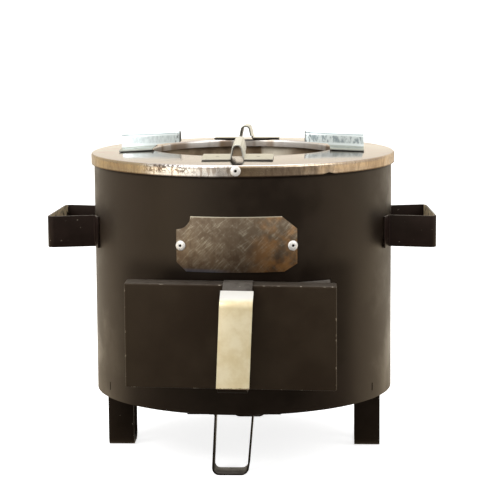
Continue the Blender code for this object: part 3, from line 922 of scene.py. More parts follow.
@dataclass(frozen=True)
class RingSteel(Finish):
    """Polished sheet with drawing marks on its turned edge, heat tints at its mouth, painted crease
    shade on the turned edge and painted highlights on the collar.

    The bands are measured from the ring's edge, from its mouth and from its lowest
    line; the ways are angles from the drawer's side, positive to the right.
    """

    axis: Vector
    edge_radius: float
    mouth_radius: float
    low: float
    bright: Triple = srgb(215, 213, 216)
    grazing: Triple = (0.70, 0.68, 0.66)
    polish: Triple = srgb(232, 230, 228)
    tan: Triple = srgb(184, 168, 138)
    rose: Triple = srgb(218, 201, 180)
    streak: Triple = srgb(142, 122, 104)
    dark_brown: Triple = srgb(74, 54, 40)
    straw: Triple = srgb(196, 170, 134)
    violet: Triple = srgb(128, 112, 132)
    brass: Triple = srgb(150, 124, 96)
    edge_band: Pair = (-1.6 * MM, -0.7 * MM)
    heat_band: Pair = (9 * MM, -1 * MM)
    collar_band: Pair = (1 * MM, 0.3 * MM)
    wrinkle_band: Pair = (1.5 * MM, 4 * MM)
    foot_band: Ramp = (1.3 * MM, 0.4 * MM, 0.0, 0.75)
    polished_ways: Sequence[Pair] = ((-0.68, -0.5), (0.04, -0.08))
    wrinkled_ways: Pair = (-0.2, -0.34)
    rosy_ways: Pair = (0.0, 0.35)

    def look(self, graph: Graph) -> Inputs:
        """A bright face between the drawn edge and the heated mouth with its collar, whose pale
        patches are painted highlights.

        Args:
            graph: the material's tree.

        Returns:
            The shader's inputs.
        """
        x, y, height = (graph.spot() - self.axis).parts()
        radius = (x * x + y * y).sum("SQRT")
        angle = x.sum("ARCTAN2", y * -1.0)
        edge = (radius - self.edge_radius).ramp(*self.edge_band)
        heat = (radius - self.mouth_radius).ramp(*self.heat_band)
        collar = (radius - self.mouth_radius).ramp(*self.collar_band)
        patch = graph.mottle(32 * MM, 0.42, 0.62)
        blue = graph.mottle(12 * MM, 0.55, 0.7, (0.1, 0.2, 0.0))
        # The collar alternates brass-coloured patches and pale polished patches; the pale ones are
        # painted highlights.
        brass_and_painted_highlight = graph.join(angle, 0.4).cloud(4.0, 2.0).ramp(0.42, 0.6)
        colour = edge.blend(self.bright, self.flange(graph, angle, height)).coated(
            (heat * patch * 0.6, self.straw), (heat * blue * patch, self.violet),
            (collar * 0.7, brass_and_painted_highlight.blend(self.brass, self.polish)))
        smudge = graph.mottle(40 * MM, 0.4, 0.8).ramp(0.0, 1.0, 0.14, 0.26)
        return {"Base Color": colour, "Metallic": 1.0, "Specular Tint": self.grazing,
                "Roughness": smudge + edge.most(collar * 2.5) * 0.1,
                "Normal": graph.grain(300.0, 300.0, 300.0).bump(0.01 * MM, 0.4)}

    def flange(self, graph: Graph, angle: Value, height: Value) -> Value:
        """The turned-down edge: polished left of the middle, browned elsewhere, drawn in streaks,
        with painted crease shade along its flutes and wrinkles.

        Args:
            graph: the material's tree.
            angle: the way round from the drawer's side, positive to the right.
            height: the height above the floor.

        Returns:
            The colour.
        """
        def streaks(rise: float, scale: float, detail: float) -> Value:
            """Noise on the edge unrolled, in radians, with its height stretched."""
            return graph.join(angle, height * rise).cloud(scale, detail)
        broad = streaks(2.0, 2.2, 1.0).ramp(0.35, 0.65)
        fine = streaks(2.0, 50.0, 3.0).ramp(0.4, 0.65)
        # Painted crease shade: dark streaks along the flutes and dark lines along the wrinkles.
        flutes = streaks(1.5, 40.0, 2.0).ramp(0.5, 0.62)
        crease = abs(streaks(7.0, 30.0, 1.0) - 0.5).ramp(0.06, 0.02)
        over = height - self.low
        wrinkle = crease * angle.ramp(*self.wrinkled_ways) * over.ramp(*self.wrinkle_band)
        brown = angle.ramp(*self.rosy_ways).blend(self.tan, self.rose).coated(
            (broad * 0.5, self.streak), (fine * 0.45, self.streak))
        silver = (flutes * 0.6).blend(self.polish, self.streak).coated(
            (wrinkle * 0.8, self.dark_brown))
        return angle.between(*self.polished_ways).blend(brown, silver).coated(
            (over.ramp(*self.foot_band), self.dark_brown))


@dataclass(frozen=True)
class LinerSteel(Finish):
    """The fire pot's stained sheet, with a pale patch of painted light to the right of its welded
    seam.

    The ways are angles from the seam, each rising and falling again.
    """

    axis: Vector
    seam: float = 0.15
    sheet: Triple = srgb(168, 150, 126)
    stain: Triple = srgb(112, 94, 74)
    painted_light_patch: Triple = srgb(232, 226, 210)
    weld: Triple = srgb(84, 62, 36)
    painted_light_ways: Sequence[Pair] = ((0.0, 0.05), (0.5, 0.15))
    welded_ways: Sequence[Pair] = ((-0.25, -0.04), (0.02, 0.0))

    def look(self, graph: Graph) -> Inputs:
        """Stained sheet on both sides of the seam at the back.

        Args:
            graph: the material's tree.

        Returns:
            The shader's inputs.
        """
        x, y, _ = (graph.spot() - self.axis).parts()
        past = x.sum("ARCTAN2", y) - self.seam
        patches = graph.mottle(45 * MM, 0.35, 0.7)
        grain = graph.grain(700.0, 700.0, 25.0)
        # A pale patch right of the seam is painted light on the pot's inner wall.
        colour = patches.blend(self.sheet, self.stain).coated(
            (past.between(*self.painted_light_ways) * 0.7, self.painted_light_patch),
            (past.between(*self.welded_ways) * 0.7, self.weld), (grain * 0.15, self.weld))
        return {"Base Color": colour, "Metallic": 0.6,
                "Roughness": patches.ramp(0.0, 1.0, 0.42, 0.65),
                "Normal": grain.bump(0.02 * MM, 0.6)}


@dataclass(frozen=True)
class PlateSteel(Finish):
    """The name plate's dull steel: brushed, browned, criss-crossed with scratches and darker towards
    its foot as painted shade.

    Each set of scratches has its lean and its share; the bands are measured from
    the plate's foot and from its top.
    """

    span: Span
    bright: Triple = srgb(134, 119, 101)
    brown: Triple = srgb(90, 72, 57)
    rust: Triple = srgb(190, 138, 80)
    scratch: Triple = srgb(206, 200, 180)
    bluish_reflection: Triple = srgb(94, 96, 108)
    scratches: Profile = ((-0.7, 0.42), (-1.0, 0.3), (0.75, 0.22))
    scratch_stretch: Triple = (1600.0, 20.0, 60.0)
    bright_from: float = 12 * MM
    rust_reach: float = 45 * MM
    bluish_reflection_reach: float = -25 * MM
    foot_band: Pair = (4 * MM, 1 * MM)
    rim_highlight_band: Pair = (-1.0 * MM, -0.5 * MM)

    def look(self, graph: Graph) -> Inputs:
        """Darker towards its foot as painted shade, rusty on the right, with a bluish painted
        reflection at its lower left and a painted highlight along its top edge.

        Args:
            graph: the material's tree.

        Returns:
            The shader's inputs.
        """
        across, _, height = graph.spot().parts()
        over = height - self.span.low.z
        # A pale line along the top edge is a painted highlight.
        rim = (height - self.span.high.z).ramp(*self.rim_highlight_band)
        # Painted shade: the plate darkens, and its scratches fade, towards its foot.
        rise = over.ramp(0.0, self.span.size.z - self.bright_from)
        share = rise * 0.6 + graph.mottle(14 * MM, 0.3, 0.7) * 0.4
        grain = graph.grain(1400.0, 1400.0, 60.0)
        layers = [(grain * 0.4, tuple(channel * 0.25 for channel in self.brown))]
        broken = graph.mottle(7 * MM, 0.38, 0.62)
        for lean, most in self.scratches:
            leaning = graph.add("Mapping", {"Vector": graph.spot(), "Rotation": (0.0, lean, 0.0)})
            line = (leaning * self.scratch_stretch).cloud(1.0, 1.0).ramp(0.54, 0.68)
            layers.append((broken * line * rise.ramp(0.2, 1.0, most * 0.4, most), self.scratch))
        stain = across.ramp(0.0, self.rust_reach) * graph.mottle(22 * MM, 0.4, 0.6)
        # A bluish band along the lower left is a painted reflection.
        foot = across.ramp(0.0, self.bluish_reflection_reach) * over.ramp(*self.foot_band)
        layers += [(stain * 0.6, self.rust), (foot * 0.8, self.bluish_reflection), (rim * 0.8, self.scratch)]
        return {"Base Color": share.blend(self.brown, self.bright).coated(*layers),
                "Metallic": 0.85, "Roughness": grain.ramp(0.2, 0.8, 0.32, 0.5),
                "Normal": grain.bump(0.03 * MM, 0.6)}


@dataclass(frozen=True)
class GripSteel(Finish):
    """The grip's bare sheet: pale, satin, browned where its lower edge was cut, with a white
    highlight painted on its top bend.
    """

    span: Span
    pale: Triple = srgb(244, 231, 196)
    warm: Triple = srgb(228, 210, 166)
    dark_brown: Triple = srgb(96, 66, 36)
    crown: Triple = (0.84, 0.82, 0.76)
    crown_highlight_band: Pair = (-9 * MM, -5 * MM)
    ragged: float = 2.2 * MM

    def look(self, graph: Graph) -> Inputs:
        """Warm patches between the ragged lower edge and the white highlight painted on the crown.

        Args:
            graph: the material's tree.

        Returns:
            The shader's inputs.
        """
        height = graph.spot().parts()[2]
        edge = height - self.span.low.z < graph.spot().cloud(500.0, 3.0) * self.ragged
        grain = graph.grain(500.0, 500.0, 40.0)
        # Painted highlight: the top bend turns white and loses its metal look.
        crown = (height - self.span.high.z).ramp(*self.crown_highlight_band)
        colour = graph.mottle(16 * MM, 0.3, 0.7).blend(self.pale, self.warm).coated(
            (edge * 0.8, self.dark_brown), (crown, self.crown))
        return {"Base Color": colour, "Metallic": crown.ramp(0.0, 1.0, 0.35, 0.0),
                "Roughness": grain.ramp(0.2, 0.8, 0.3, 0.48),
                "Normal": grain.bump(0.02 * MM, 0.5)}


@dataclass(frozen=True)
class Galvanised(Finish):
    """Zinc-coated strip with its bluish spangle and two weld spots on each foot.

    A dark line and a darker band under the crown are painted reflections, the rests that run front
    to back are tinted beige as a painted reflection, and the hat's inside is darkened as painted
    shade. The first four bands are depths below the hat's crown, the mark and the cut are measured
    outwards from its inner end, and the weld from a spot's middle.
    """

    axis: Vector
    light: Triple = srgb(218, 228, 230)
    dark: Triple = srgb(124, 137, 142)
    foot: Triple = srgb(134, 137, 124)
    beige: Triple = srgb(196, 190, 174)
    weld_and_painted_shade: Triple = srgb(60, 52, 46)
    crown_height: float = 309.3 * MM
    crown_radius: float = 87 * MM
    crown_slope: float = 3 / 61
    inner_end: float = 60.5 * MM
    weld: Triple = (103 * MM, 19 * MM, 0.0)
    weld_top: float = 297 * MM
    reflection_band: Sequence[Pair] = ((2.5 * MM, 4 * MM), (10.5 * MM, 9 * MM))
    reflection_line_band: Sequence[Pair] = ((0.7 * MM, 1.1 * MM), (2 * MM, 1.6 * MM))
    foot_band: Ramp = (11.5 * MM, 13 * MM, 0.0, 0.75)
    mark_band: Ramp = (8 * MM, 3 * MM, 0.0, 0.6)
    cut_band: Ramp = (1.6 * MM, 0.8 * MM, 0.0, 0.8)
    weld_band: Pair = (2.2 * MM, 1.2 * MM)
    spangled: Ramp = (-20 * MM, 60 * MM, 0.3, 0.85)
    inwards: float = -0.8 * MM

    def look(self, graph: Graph) -> Inputs:
        """Bands that follow the hat's crown, its cut inner end, its inside and its welds, with
        painted reflections on the crown's bands and painted shade inside.

        Args:
            graph: the material's tree.

        Returns:
            The shader's inputs.
        """
        off = graph.spot() - self.axis
        sideways = off.parts()[0]
        x, y, height = abs(off).parts()
        out = x.most(y)
        lengthways = y > x
        crown = (out - self.crown_radius) * -self.crown_slope + self.crown_height
        below = crown - height
        past_end = out - self.inner_end
        tone = graph.grain(420.0, 420.0, 150.0)
        spangle = tone.ramp(0.42, 0.62) * sideways.ramp(*self.spangled)
        # Painted reflection: a darker band and a dark line under the crown.
        middle = below.between(*self.reflection_band)
        line = below.between(*self.reflection_line_band)
        marked = tone.ramp(0.45, 0.6) * past_end.ramp(*self.mark_band)
        # Painted shade: the hat's inside and downward faces are darkened, and the cut inner end
        # partly so.
        normal = graph.add("NewGeometry", output="True Normal").parts()
        turned_in = lengthways * (normal[0] * sideways) < self.inwards
        inside = turned_in.most(normal[2] < -0.3)
        gap = graph.join(out, x.least(y)).sum("DISTANCE", self.weld, output=1)
        spotted = gap.ramp(*self.weld_band) * (height < self.weld_top)
        colour = (spangle * middle).blend(self.light, self.dark).coated(
            (middle * 0.2, self.dark), (line * 0.85, self.dark),
            # The rests that run front to back are tinted beige as a painted reflection.
            (below.ramp(*self.foot_band), self.foot), (lengthways * 0.6, self.beige),
            (past_end.ramp(*self.cut_band).most(marked), lengthways.blend(self.weld_and_painted_shade, self.foot)),
            (inside * 0.8, self.weld_and_painted_shade), (spotted * 0.7, self.weld_and_painted_shade))
        return {"Base Color": colour, "Metallic": 0.9, "Roughness": tone.ramp(0.0, 1.0, 0.28, 0.5),
                "Normal": (tone * 0.05 - spotted).bump(0.3 * MM, 0.6)}


@dataclass(frozen=True)
class Wool(Finish):
    """Packed ceramic fibre."""

    light: Triple = srgb(226, 222, 212)
    dark: Triple = srgb(178, 170, 154)

    def look(self, graph: Graph) -> Inputs:
        """Fibres that lie level.

        Args:
            graph: the material's tree.

        Returns:
            The shader's inputs.
        """
        fibre = graph.grain(500.0, 500.0, 1500.0)
        return {"Base Color": fibre.blend(self.light, self.dark), "Roughness": 0.95,
                "Normal": fibre.bump(0.4 * MM, 1.0)}


class Finishes:
    """Every finish of the stove, made once."""

    def __init__(self, axis: Vector) -> None:
        """Builds the shared effects and each material.

        Args:
            axis: a point on the stove's axis.
        """
        add_group("mottle", mottle_mask, Scale="Float", From="Float", To="Float", Offset="Vector")
        add_group("grain", grain_mask, Stretch="Vector")
        add_group("fold wear", fold_wear_and_highlight_mask, Centre="Vector", Half="Vector", Width="Float",
                  Droop="Float")
        front = DrawerFront()
        ring = Span.of("top_plate")
        patch = 25 * MM
        self.body_paint = Paint("body_paint", gloss=0.37, dull_zone=(front.top, ring.low.z)).make()
        self.frame_paint = Paint("frame_paint", patch_size=patch, worn=srgb(24, 17, 13),
                                 gloss=0.17, chipped=0.6).make()
        self.handle_paint = Paint("handle_paint", patch_size=patch, deep=srgb(20, 12, 11),
                                  worn=srgb(30, 20, 18), gloss=0.19, chipped=0.6,
                                  painted_reflection_beyond=120 * MM).make()
        self.drawer_paint = Paint("drawer_paint", deep=srgb(34, 25, 17), worn=srgb(42, 33, 23),
                                  gloss=0.24, dust_and_top_light_share=0.2, metal=srgb(150, 142, 130),
                                  worn_and_highlit_front=front).make()
        self.inner_paint = Paint("inner_paint", worn=srgb(62, 56, 50), roughness=(0.6, 0.85)).make()
        self.polished = RingSteel("ring_steel", axis, ring.size.x / 2, TopRing.mouth_radius,
                                  ring.low.z).make()
        self.grip = GripSteel("grip_steel", Span.of("drawer_grip")).make()
        self.plate = PlateSteel("plate_steel", Span.of("name_plate")).make()
        self.galvanised = Galvanised("rest_zinc", axis).make()
        self.rivet = Steel("rivet_metal", srgb(250, 249, 246), srgb(228, 224, 216),
                           stain_size=3 * MM, roughness=(0.4, 0.55), metallic=0.6).make()
        self.pin = Steel("pin_steel", srgb(34, 28, 24), srgb(20, 16, 12), stain_size=2 * MM).make()
        self.fire = LinerSteel("fire_steel", axis).make()
        self.iron = Steel("grate_iron", srgb(62, 58, 54), srgb(84, 62, 46), metallic=0.4,
                          roughness=(0.6, 0.85), stretch=(300.0, 300.0, 300.0),
                          grain_height=0.2 * MM).make()
        self.wool = Wool("packed_wool").make()


# The stove's sub-assemblies


@dataclass
class Assembly:
    """Any sub-assembly; it takes its looks from the finishes."""

    finishes: Finishes


@dataclass
class RoundBody(Assembly):
    """The painted outer wall with its window for the drawer's duct."""

    axis: Vector
    sheet: float = 1.2 * MM
    corners: int = 288
    rows: int = 12
    slot_angle: float = math.radians(60)
    slot_width: float = 1.6 * MM
    slot_bottom: float = 67.5 * MM
    slot_top: float = 75.5 * MM
    ripple: float = 0.12 * MM
    ripple_scale: Triple = (14.0, 14.0, 9.0)
    cut_clear: float = 3 * MM
    window_reach: float = 160 * MM

    def __post_init__(self) -> None:
        """Reads the wall's place from the frame."""
        self.span = Span.of("body_shell")
        self.radius = self.span.size.x / 2

    def outward(self, angle: float) -> Vector:
        """The direction straight out of the wall; angle 0 is the drawer's side."""
        return Vector((math.sin(angle), -math.cos(angle), 0))

    def away(self, spot: Vector) -> Vector:
        """The level way from the axis to a point."""
        return Vector((spot.x - self.axis.x, spot.y - self.axis.y, 0))

    def rippled(self, spot: Vector) -> Vector:
        """The slight unevenness that rolled sheet has."""
        wave = unevenness(spot, self.ripple_scale) - 1
        return self.away(spot).normalized() * wave * self.ripple

    def build(self) -> None:
        """Raises the wall, cuts its window and slots and paints it."""
        inner = self.radius - self.sheet
        rise = self.span.size.z / self.rows
        heights = [self.span.low.z + rise * i for i in range(self.rows + 1)]
        profile = [(self.radius, z) for z in reversed(heights)] + [(inner, z) for z in heights]
        wall = turned("body_wall", self.axis, profile, self.corners)
        wall.shift(self.rippled)
        duct = Span.of("drawer_duct")
        margin = SIDEWAYS * GAP + UP * GAP
        low = Vector((duct.low.x, self.axis.y - self.window_reach, duct.low.z)) - margin
        high = Vector((duct.high.x, self.axis.y, duct.high.z)) + margin
        wall.cut(Piece.block("window_cutter", low, high))
        half = self.slot_width / 2
        low = Vector((-half, self.axis.y - self.radius - self.cut_clear, self.slot_bottom))
        high = Vector((half, self.axis.y - inner + self.cut_clear, self.slot_top))
        for angle in (-self.slot_angle, self.slot_angle,
                      math.pi - self.slot_angle, math.pi + self.slot_angle):
            wall.cut(Piece.block("slot_cutter", low, high).turn(angle, self.axis))
        wall.fit(Body.STOVE, Slot.PAINT, self.finishes.body_paint, "body_shell")


@dataclass
class BodyPart(Assembly):
    """Any sub-assembly that sits on or in the round body."""

    body: RoundBody


@dataclass
class TopRing(BodyPart):
    """The polished conical plate with its hammered edge and its collar."""

    sheet: float = 1.2 * MM
    mouth_radius: float = 87 * MM
    collar_bottom: float = 287.5 * MM
    edge_bend: float = 2.6 * MM
    mouth_bend: float = 2.2 * MM
    edge_height: float = 291.5 * MM
    mouth_height: float = 294.5 * MM
    corners: int = 400
    outer_bend_steps: int = 6
    inner_bend_steps: int = 4
    flange_rows: int = 5
    hammered_width: float = 6 * MM
    flute_depth: float = 0.5 * MM
    flute_count: int = 58
    flute_scale: Triple = (2.5, 2.5, 1.0)
    wander_scale: Triple = (4.0, 4.0, 1.0)
    wander: float = 2.5
    dent_scale: Triple = (90.0, 90.0, 60.0)
    mean_depth: float = 0.6
    flute_share: float = 0.4
    dent_share: float = 0.5
    most_depth: float = 1.5
    nick_angle: float = math.radians(35)
    nick_half: float = math.radians(2.6)
    nick_height: float = 1.8 * MM
    nick_reach: float = 4 * MM

    def __post_init__(self) -> None:
        """Reads the ring's place from the frame."""
        span = Span.of("top_plate")
        self.radius = span.size.x / 2
        self.flange_bottom = span.low.z
        self.slope = (self.mouth_height - self.edge_height) / (self.radius - self.mouth_radius)

    def height(self, radius: float) -> float:
        """Height of the plate's upper face at a radius."""
        return self.mouth_height - (radius - self.mouth_radius) * self.slope

    def hammered(self, spot: Vector) -> Vector:
        """The flutes, dents and nick left by drawing the edge down; none stands proud.

        Args:
            spot: a point of the ring.

        Returns:
            How far it moves.
        """
        way = self.body.away(spot)
        if way.length < self.radius - self.hammered_width:
            return NOWHERE
        angle = math.atan2(way.x, -way.y)
        sine, cosine = math.sin(angle), math.cos(angle)
        down = (self.height(way.length) - spot.z) / self.hammered_width
        drop = min(max(down, 0), 1)
        uneven = 0.5 + unevenness((sine, cosine, 7), self.flute_scale)
        drift = self.wander * unevenness((sine, cosine, 3), self.wander_scale)
        flutes = math.sin(angle * self.flute_count + drift)
        dents = unevenness(spot, self.dent_scale)
        depth = self.mean_depth + self.flute_share * flutes * uneven - self.dent_share * dents
        depth = min(max(depth, 0), self.most_depth)
        near = max(1 - abs(angle - self.nick_angle) / self.nick_half, 0)
        low = max(1 - (spot.z - self.flange_bottom) / self.nick_reach, 0)
        return (way.normalized() * -depth * drop * self.flute_depth
                + UP * self.nick_height * near * low)

    def build(self) -> None:
        """Turns the ring, hammers its edge and polishes it."""
        tilt = math.degrees(math.atan(self.slope))
        edge_radius = self.radius - self.edge_bend
        edge = (edge_radius, self.height(edge_radius) - self.edge_bend)
        mouth_radius = self.mouth_radius + self.mouth_bend
        mouth = (mouth_radius, self.height(mouth_radius) - self.mouth_bend)
        rise = (edge[1] - self.flange_bottom) / self.flange_rows
        flange = [(self.radius, self.flange_bottom + rise * i) for i in range(self.flange_rows)]
        profile = flange + arc(edge, self.edge_bend, 0, 90 - tilt, self.outer_bend_steps)
        profile += arc(mouth, self.mouth_bend, 90 - tilt, 180, self.outer_bend_steps)
        profile += [(self.mouth_radius, self.collar_bottom),
                    (self.mouth_radius + self.sheet, self.collar_bottom)]
        profile += arc(mouth, self.mouth_bend - self.sheet, 180, 90 - tilt,
                       self.inner_bend_steps)
        profile += arc(edge, self.edge_bend - self.sheet, 90 - tilt, 0, self.inner_bend_steps)
        profile += [(radius - self.sheet, z) for radius, z in reversed(flange)]
        ring = turned("ring_plate", self.body.axis, profile, self.corners)
        ring.shift(self.hammered)
        ring.fit(Body.STOVE, Slot.POLISHED, self.finishes.polished, "top_plate", degrees=40)


@dataclass
class Firebox(BodyPart):
    """The tapered pot that holds the charcoal, and the grate in its bottom."""

    sheet: float = 1.2 * MM
    ledge_radius: float = 50 * MM
    low_radius: float = 62 * MM
    cone_top: float = 268 * MM
    heel: float = 3 * MM
    corners: int = 144
    hole_radius: float = 4.5 * MM
    hole_rings: Profile = ((0.0, 1), (16 * MM, 6), (31 * MM, 12), (45.5 * MM, 16))
    hole_corners: int = 24
    liner_edge: float = 0.25 * MM
    grate_edge: float = 0.3 * MM

    def build_liner(self) -> None:
        """Turns the pot with its ledge and its upright neck."""
        span = Span.of("firebox_liner")
        outer = span.size.x / 2
        top_radius = outer - self.sheet
        floor, sheet = span.low.z, self.sheet
        slope = (self.cone_top - floor) / (top_radius - self.low_radius)
        outside = [(outer, span.high.z), (outer, self.cone_top),
                   (self.low_radius + sheet + self.heel / slope, floor + self.heel),
                   (self.low_radius + sheet - self.heel, floor)]
        inside = [(self.ledge_radius, floor), (self.ledge_radius, floor + sheet),
                  (self.low_radius - self.heel, floor + sheet),
                  (self.low_radius + self.heel / slope, floor + sheet + self.heel),
                  (top_radius, self.cone_top), (top_radius, span.high.z)]
        liner = turned("fire_pot", self.body.axis, outside + inside, self.corners)
        liner.soften(self.liner_edge)
        liner.fit(Body.STOVE, Slot.FIRE, self.finishes.fire, "firebox_liner")

    def build_grate(self) -> None:
        """Drills the rings of holes through the grate."""
        span = Span.of("grate")
        depth = span.size.z
        grate = Piece.rod("fire_grate", span.centre, UP, span.size.x / 2, depth, self.corners)
        ways = [self.body.outward(math.pi - math.tau * i / count) * radius
                for radius, count in self.hole_rings for i in range(count)]
        drills = [Piece.rod("drill", span.centre + way, UP, self.hole_radius, depth * 2,
                            self.hole_corners) for way in ways]
        drills[0].hold()
        for drill in drills:
            drill.object.select_set(True)
        bpy.ops.object.join()
        grate.cut(drills[0])
        grate.soften(self.grate_edge, degrees=50)
        grate.fit(Body.GRATE, Slot.IRON, self.finishes.iron, "grate")

    def build(self) -> None:
        """Makes both pieces."""
        self.build_liner()
        self.build_grate()


@dataclass
class PotRests(BodyPart):
    """The four folded hats that a pot stands on."""

    ring: TopRing
    sheet: float = 1.4 * MM
    half_base: float = 6.2 * MM
    half_top: float = 3.5 * MM
    rise: float = 14.5 * MM
    radii: Sequence[float] = (1.2 * MM, 3.4 * MM, 3.4 * MM, 1.2 * MM)
    foot_inner: float = 89 * MM
    wall_inner: float = 83 * MM
    arch_inner: float = 60.5 * MM
    outer_end: float = 118 * MM
    half_span: float = 33 * MM
    free_edge: Pair = (2.6 * MM, 3.6 * MM)
    cut_clear: float = 2 * MM

    def one(self) -> Piece:
        """Folds the front rest, frees its inner end and lays it on the ring's slope.

        Returns:
            The rest that the others are copied from.
        """
        axis = self.body.axis
        foot = self.sheet / 2
        corners = mirrored([(-self.half_span, foot), (-self.half_base, foot),
                            (-self.half_top, self.rise - foot)])
        rest = Bending(corners, self.radii, ((0, self.arch_inner), (0, self.outer_end)), self.sheet,
                       SIDEWAYS, origin=axis, bend_steps=6).bend("pot_rest")
        side = self.half_span + self.cut_clear
        low = Vector((-side, axis.y - self.foot_inner, -self.cut_clear))
        high = Vector((side, axis.y - self.arch_inner + self.cut_clear, foot + self.free_edge[1]))
        cutter = Piece.block("foot_cutter", low, high)
        cutter.shift(self.slanted)
        rest.cut(cutter)
        lift = self.ring.height(0) + GAP
        rest.shift(lambda spot: UP * (lift - (axis.y - spot.y) * self.ring.slope))
        return rest

    def slanted(self, spot: Vector) -> Vector:
        """Slants the cutter's outer side, so that the wall's end leans inwards.

        Args:
            spot: a corner of the cutter.

        Returns:
            How far it moves.
        """
        out = self.body.axis.y - spot.y
        if spot.z < 0 or out < self.wall_inner:
            return NOWHERE
        return Vector((0, self.foot_inner - self.wall_inner, self.free_edge[0] - self.free_edge[1]))

    def build(self) -> None:
        """Copies the rest to the four sides."""
        for side, rest in self.one().copies("rest_", self.body.axis):
            rest.fit(Body.STOVE, Slot.GALVANISED, self.finishes.galvanised,
                     "pot_rest_" + side.label, degrees=35)


@dataclass
class Legs(BodyPart):
    """The four strip loops that the stove stands on; the front one leans to the left."""

    sheet: float = 1.6 * MM
    half_top: float = 17.4 * MM
    half_bottom: float = 16.4 * MM
    radii: Sequence[float] = (2.5 * MM, 6.5 * MM, 6.5 * MM, 2.5 * MM)
    front_shift: float = -3.7 * MM
    front_lean: float = -4.1 * MM

    def __post_init__(self) -> None:
        """Reads the legs' heights and reach from the frame."""
        self.span = Span.of("leg_rear")
        self.foot = self.span.high.z - self.sheet / 2
        self.sole = self.span.low.z + self.sheet / 2

    def leaning(self, spot: Vector) -> Vector:
        """How far a point of the front leg stands off an upright leg in the middle."""
        share = min((self.foot - spot.z) / (self.foot - self.sole), 1)
        return SIDEWAYS * (self.front_shift + self.front_lean * share)

    def build(self) -> None:
        """Bends one leg and copies it to the four sides."""
        axis = self.body.axis
        corners = mirrored([(-self.span.size.x / 2, self.foot), (-self.half_top, self.foot),
                            (-self.half_bottom, self.sole)])
        section = ((0, self.span.low.y - axis.y), (0, self.span.high.y - axis.y))
        first = Bending(corners, self.radii, section, self.sheet, SIDEWAYS, origin=axis).bend("leg")
        for side, leg in first.copies("strip_leg_", axis):
            if side is Side.FRONT:
                leg.shift(self.leaning)
            leg.fit(Body.STOVE, Slot.PAINT, self.finishes.frame_paint, "leg_" + side.label)


@dataclass
class SideHandles(BodyPart):
    """The two loops of strip that the stove is carried by; they flare outwards."""

    sheet: float = 1.8 * MM
    front_reach: float = 187.5 * MM
    rear_reach: float = 181.5 * MM
    half_width: float = 37.5 * MM
    half_end: float = 47 * MM
    tab_angle: float = math.radians(20.5)
    tab_steps: int = 5
    tab_bend: float = 2.2 * MM
    corner_bend: float = 5 * MM

    def build(self) -> None:
        """Bends one loop in plan, as on the drawer's side, and its mirror image."""
        span = Span.of("handle_right")
        seat = self.body.radius + GAP + self.sheet / 2
        swing = math.asin(self.half_width / seat) - self.tab_angle
        angles = [self.tab_angle + swing * i / self.tab_steps for i in range(self.tab_steps + 1)]
        tab = [(-seat * math.sin(angle), seat * math.cos(angle)) for angle in angles]
        end = [(-self.half_end, self.front_reach - self.sheet / 2),
               (self.half_end, self.rear_reach - self.sheet / 2)]
        corners = tab + end + [(-x, y) for x, y in reversed(tab)]
        straight = (0.0,) * (self.tab_steps - 1)
        bends = (self.tab_bend, self.corner_bend, self.corner_bend, self.tab_bend)
        section = ((0, -span.high.z), (0, -span.low.z))
        for side, along in ((Side.RIGHT, 1), (Side.LEFT, -1)):
            plan = [(x * along, y) for x, y in corners]
            loop = Bending(plan, straight + bends + straight, section, self.sheet, SIDEWAYS, FORWARD,
                           self.body.axis).bend("loop_" + side.label)
            loop.turn(side.angle, self.body.axis)
            loop.fit(Body.STOVE, Slot.PAINT, self.finishes.handle_paint, "handle_" + side.label,
                     degrees=28)


@dataclass
class NamePlate(BodyPart):
    """The bare plate on the body's front."""

    sheet: float = 1.0 * MM
    notch: Pair = (14 * MM, 12.5 * MM)
    top_corner: Pair = (14.8 * MM, 12 * MM)
    low_left: Pair = (9.5 * MM, 8.5 * MM)
    low_right: Pair = (12.5 * MM, 7 * MM)
    strips: int = 48
    notch_corners: int = 64
    edge: float = 0.18 * MM

    def build(self) -> None:
        """Cuts the plate flat and rolls it to the body's curve."""
        span = Span.of("name_plate")
        seat = self.body.radius + GAP
        half = self.body.radius * math.asin(span.size.x / 2 / (seat + self.sheet))
        low = Vector((-half, 0, span.low.z))
        high = Vector((half, self.sheet, span.high.z))
        plate = Piece.block("badge_plate", low, high)
        for size, across, up in ((self.top_corner, 1, 1), (self.low_left, -1, -1),
                                 (self.low_right, 1, -1)):
            spot = Vector(((half - size[0]) * across, 0, high.z if up > 0 else low.z))
            plate.slice(spot, Vector((size[1] * across, 0, size[0] * up)).normalized(), crop=True)
        corner = Vector((-half, self.sheet / 2, high.z))
        notch = Piece.rod("notch_cutter", corner, FORWARD, self.notch[0], 4 * self.sheet,
                          self.notch_corners)
        flatten = self.notch[1] / self.notch[0]
        notch.shift(lambda spot: UP * (spot.z - high.z) * (flatten - 1))
        plate.cut(notch)
        for i in range(1, self.strips):
            plate.slice(SIDEWAYS * half * (2 * i / self.strips - 1), SIDEWAYS)
        plate.soften(self.edge)
        plate.shift(lambda spot: self.rolled(spot, seat) - spot)
        plate.fit(Body.STOVE, Slot.PLATE, self.finishes.plate, "name_plate")

    def rolled(self, spot: Vector, seat: float) -> Vector:
        """Where a point of the flat plate lies once it is rolled round the body."""
        out = self.body.outward(spot.x / self.body.radius) * (seat + spot.y)
        return self.body.axis + out + UP * spot.z


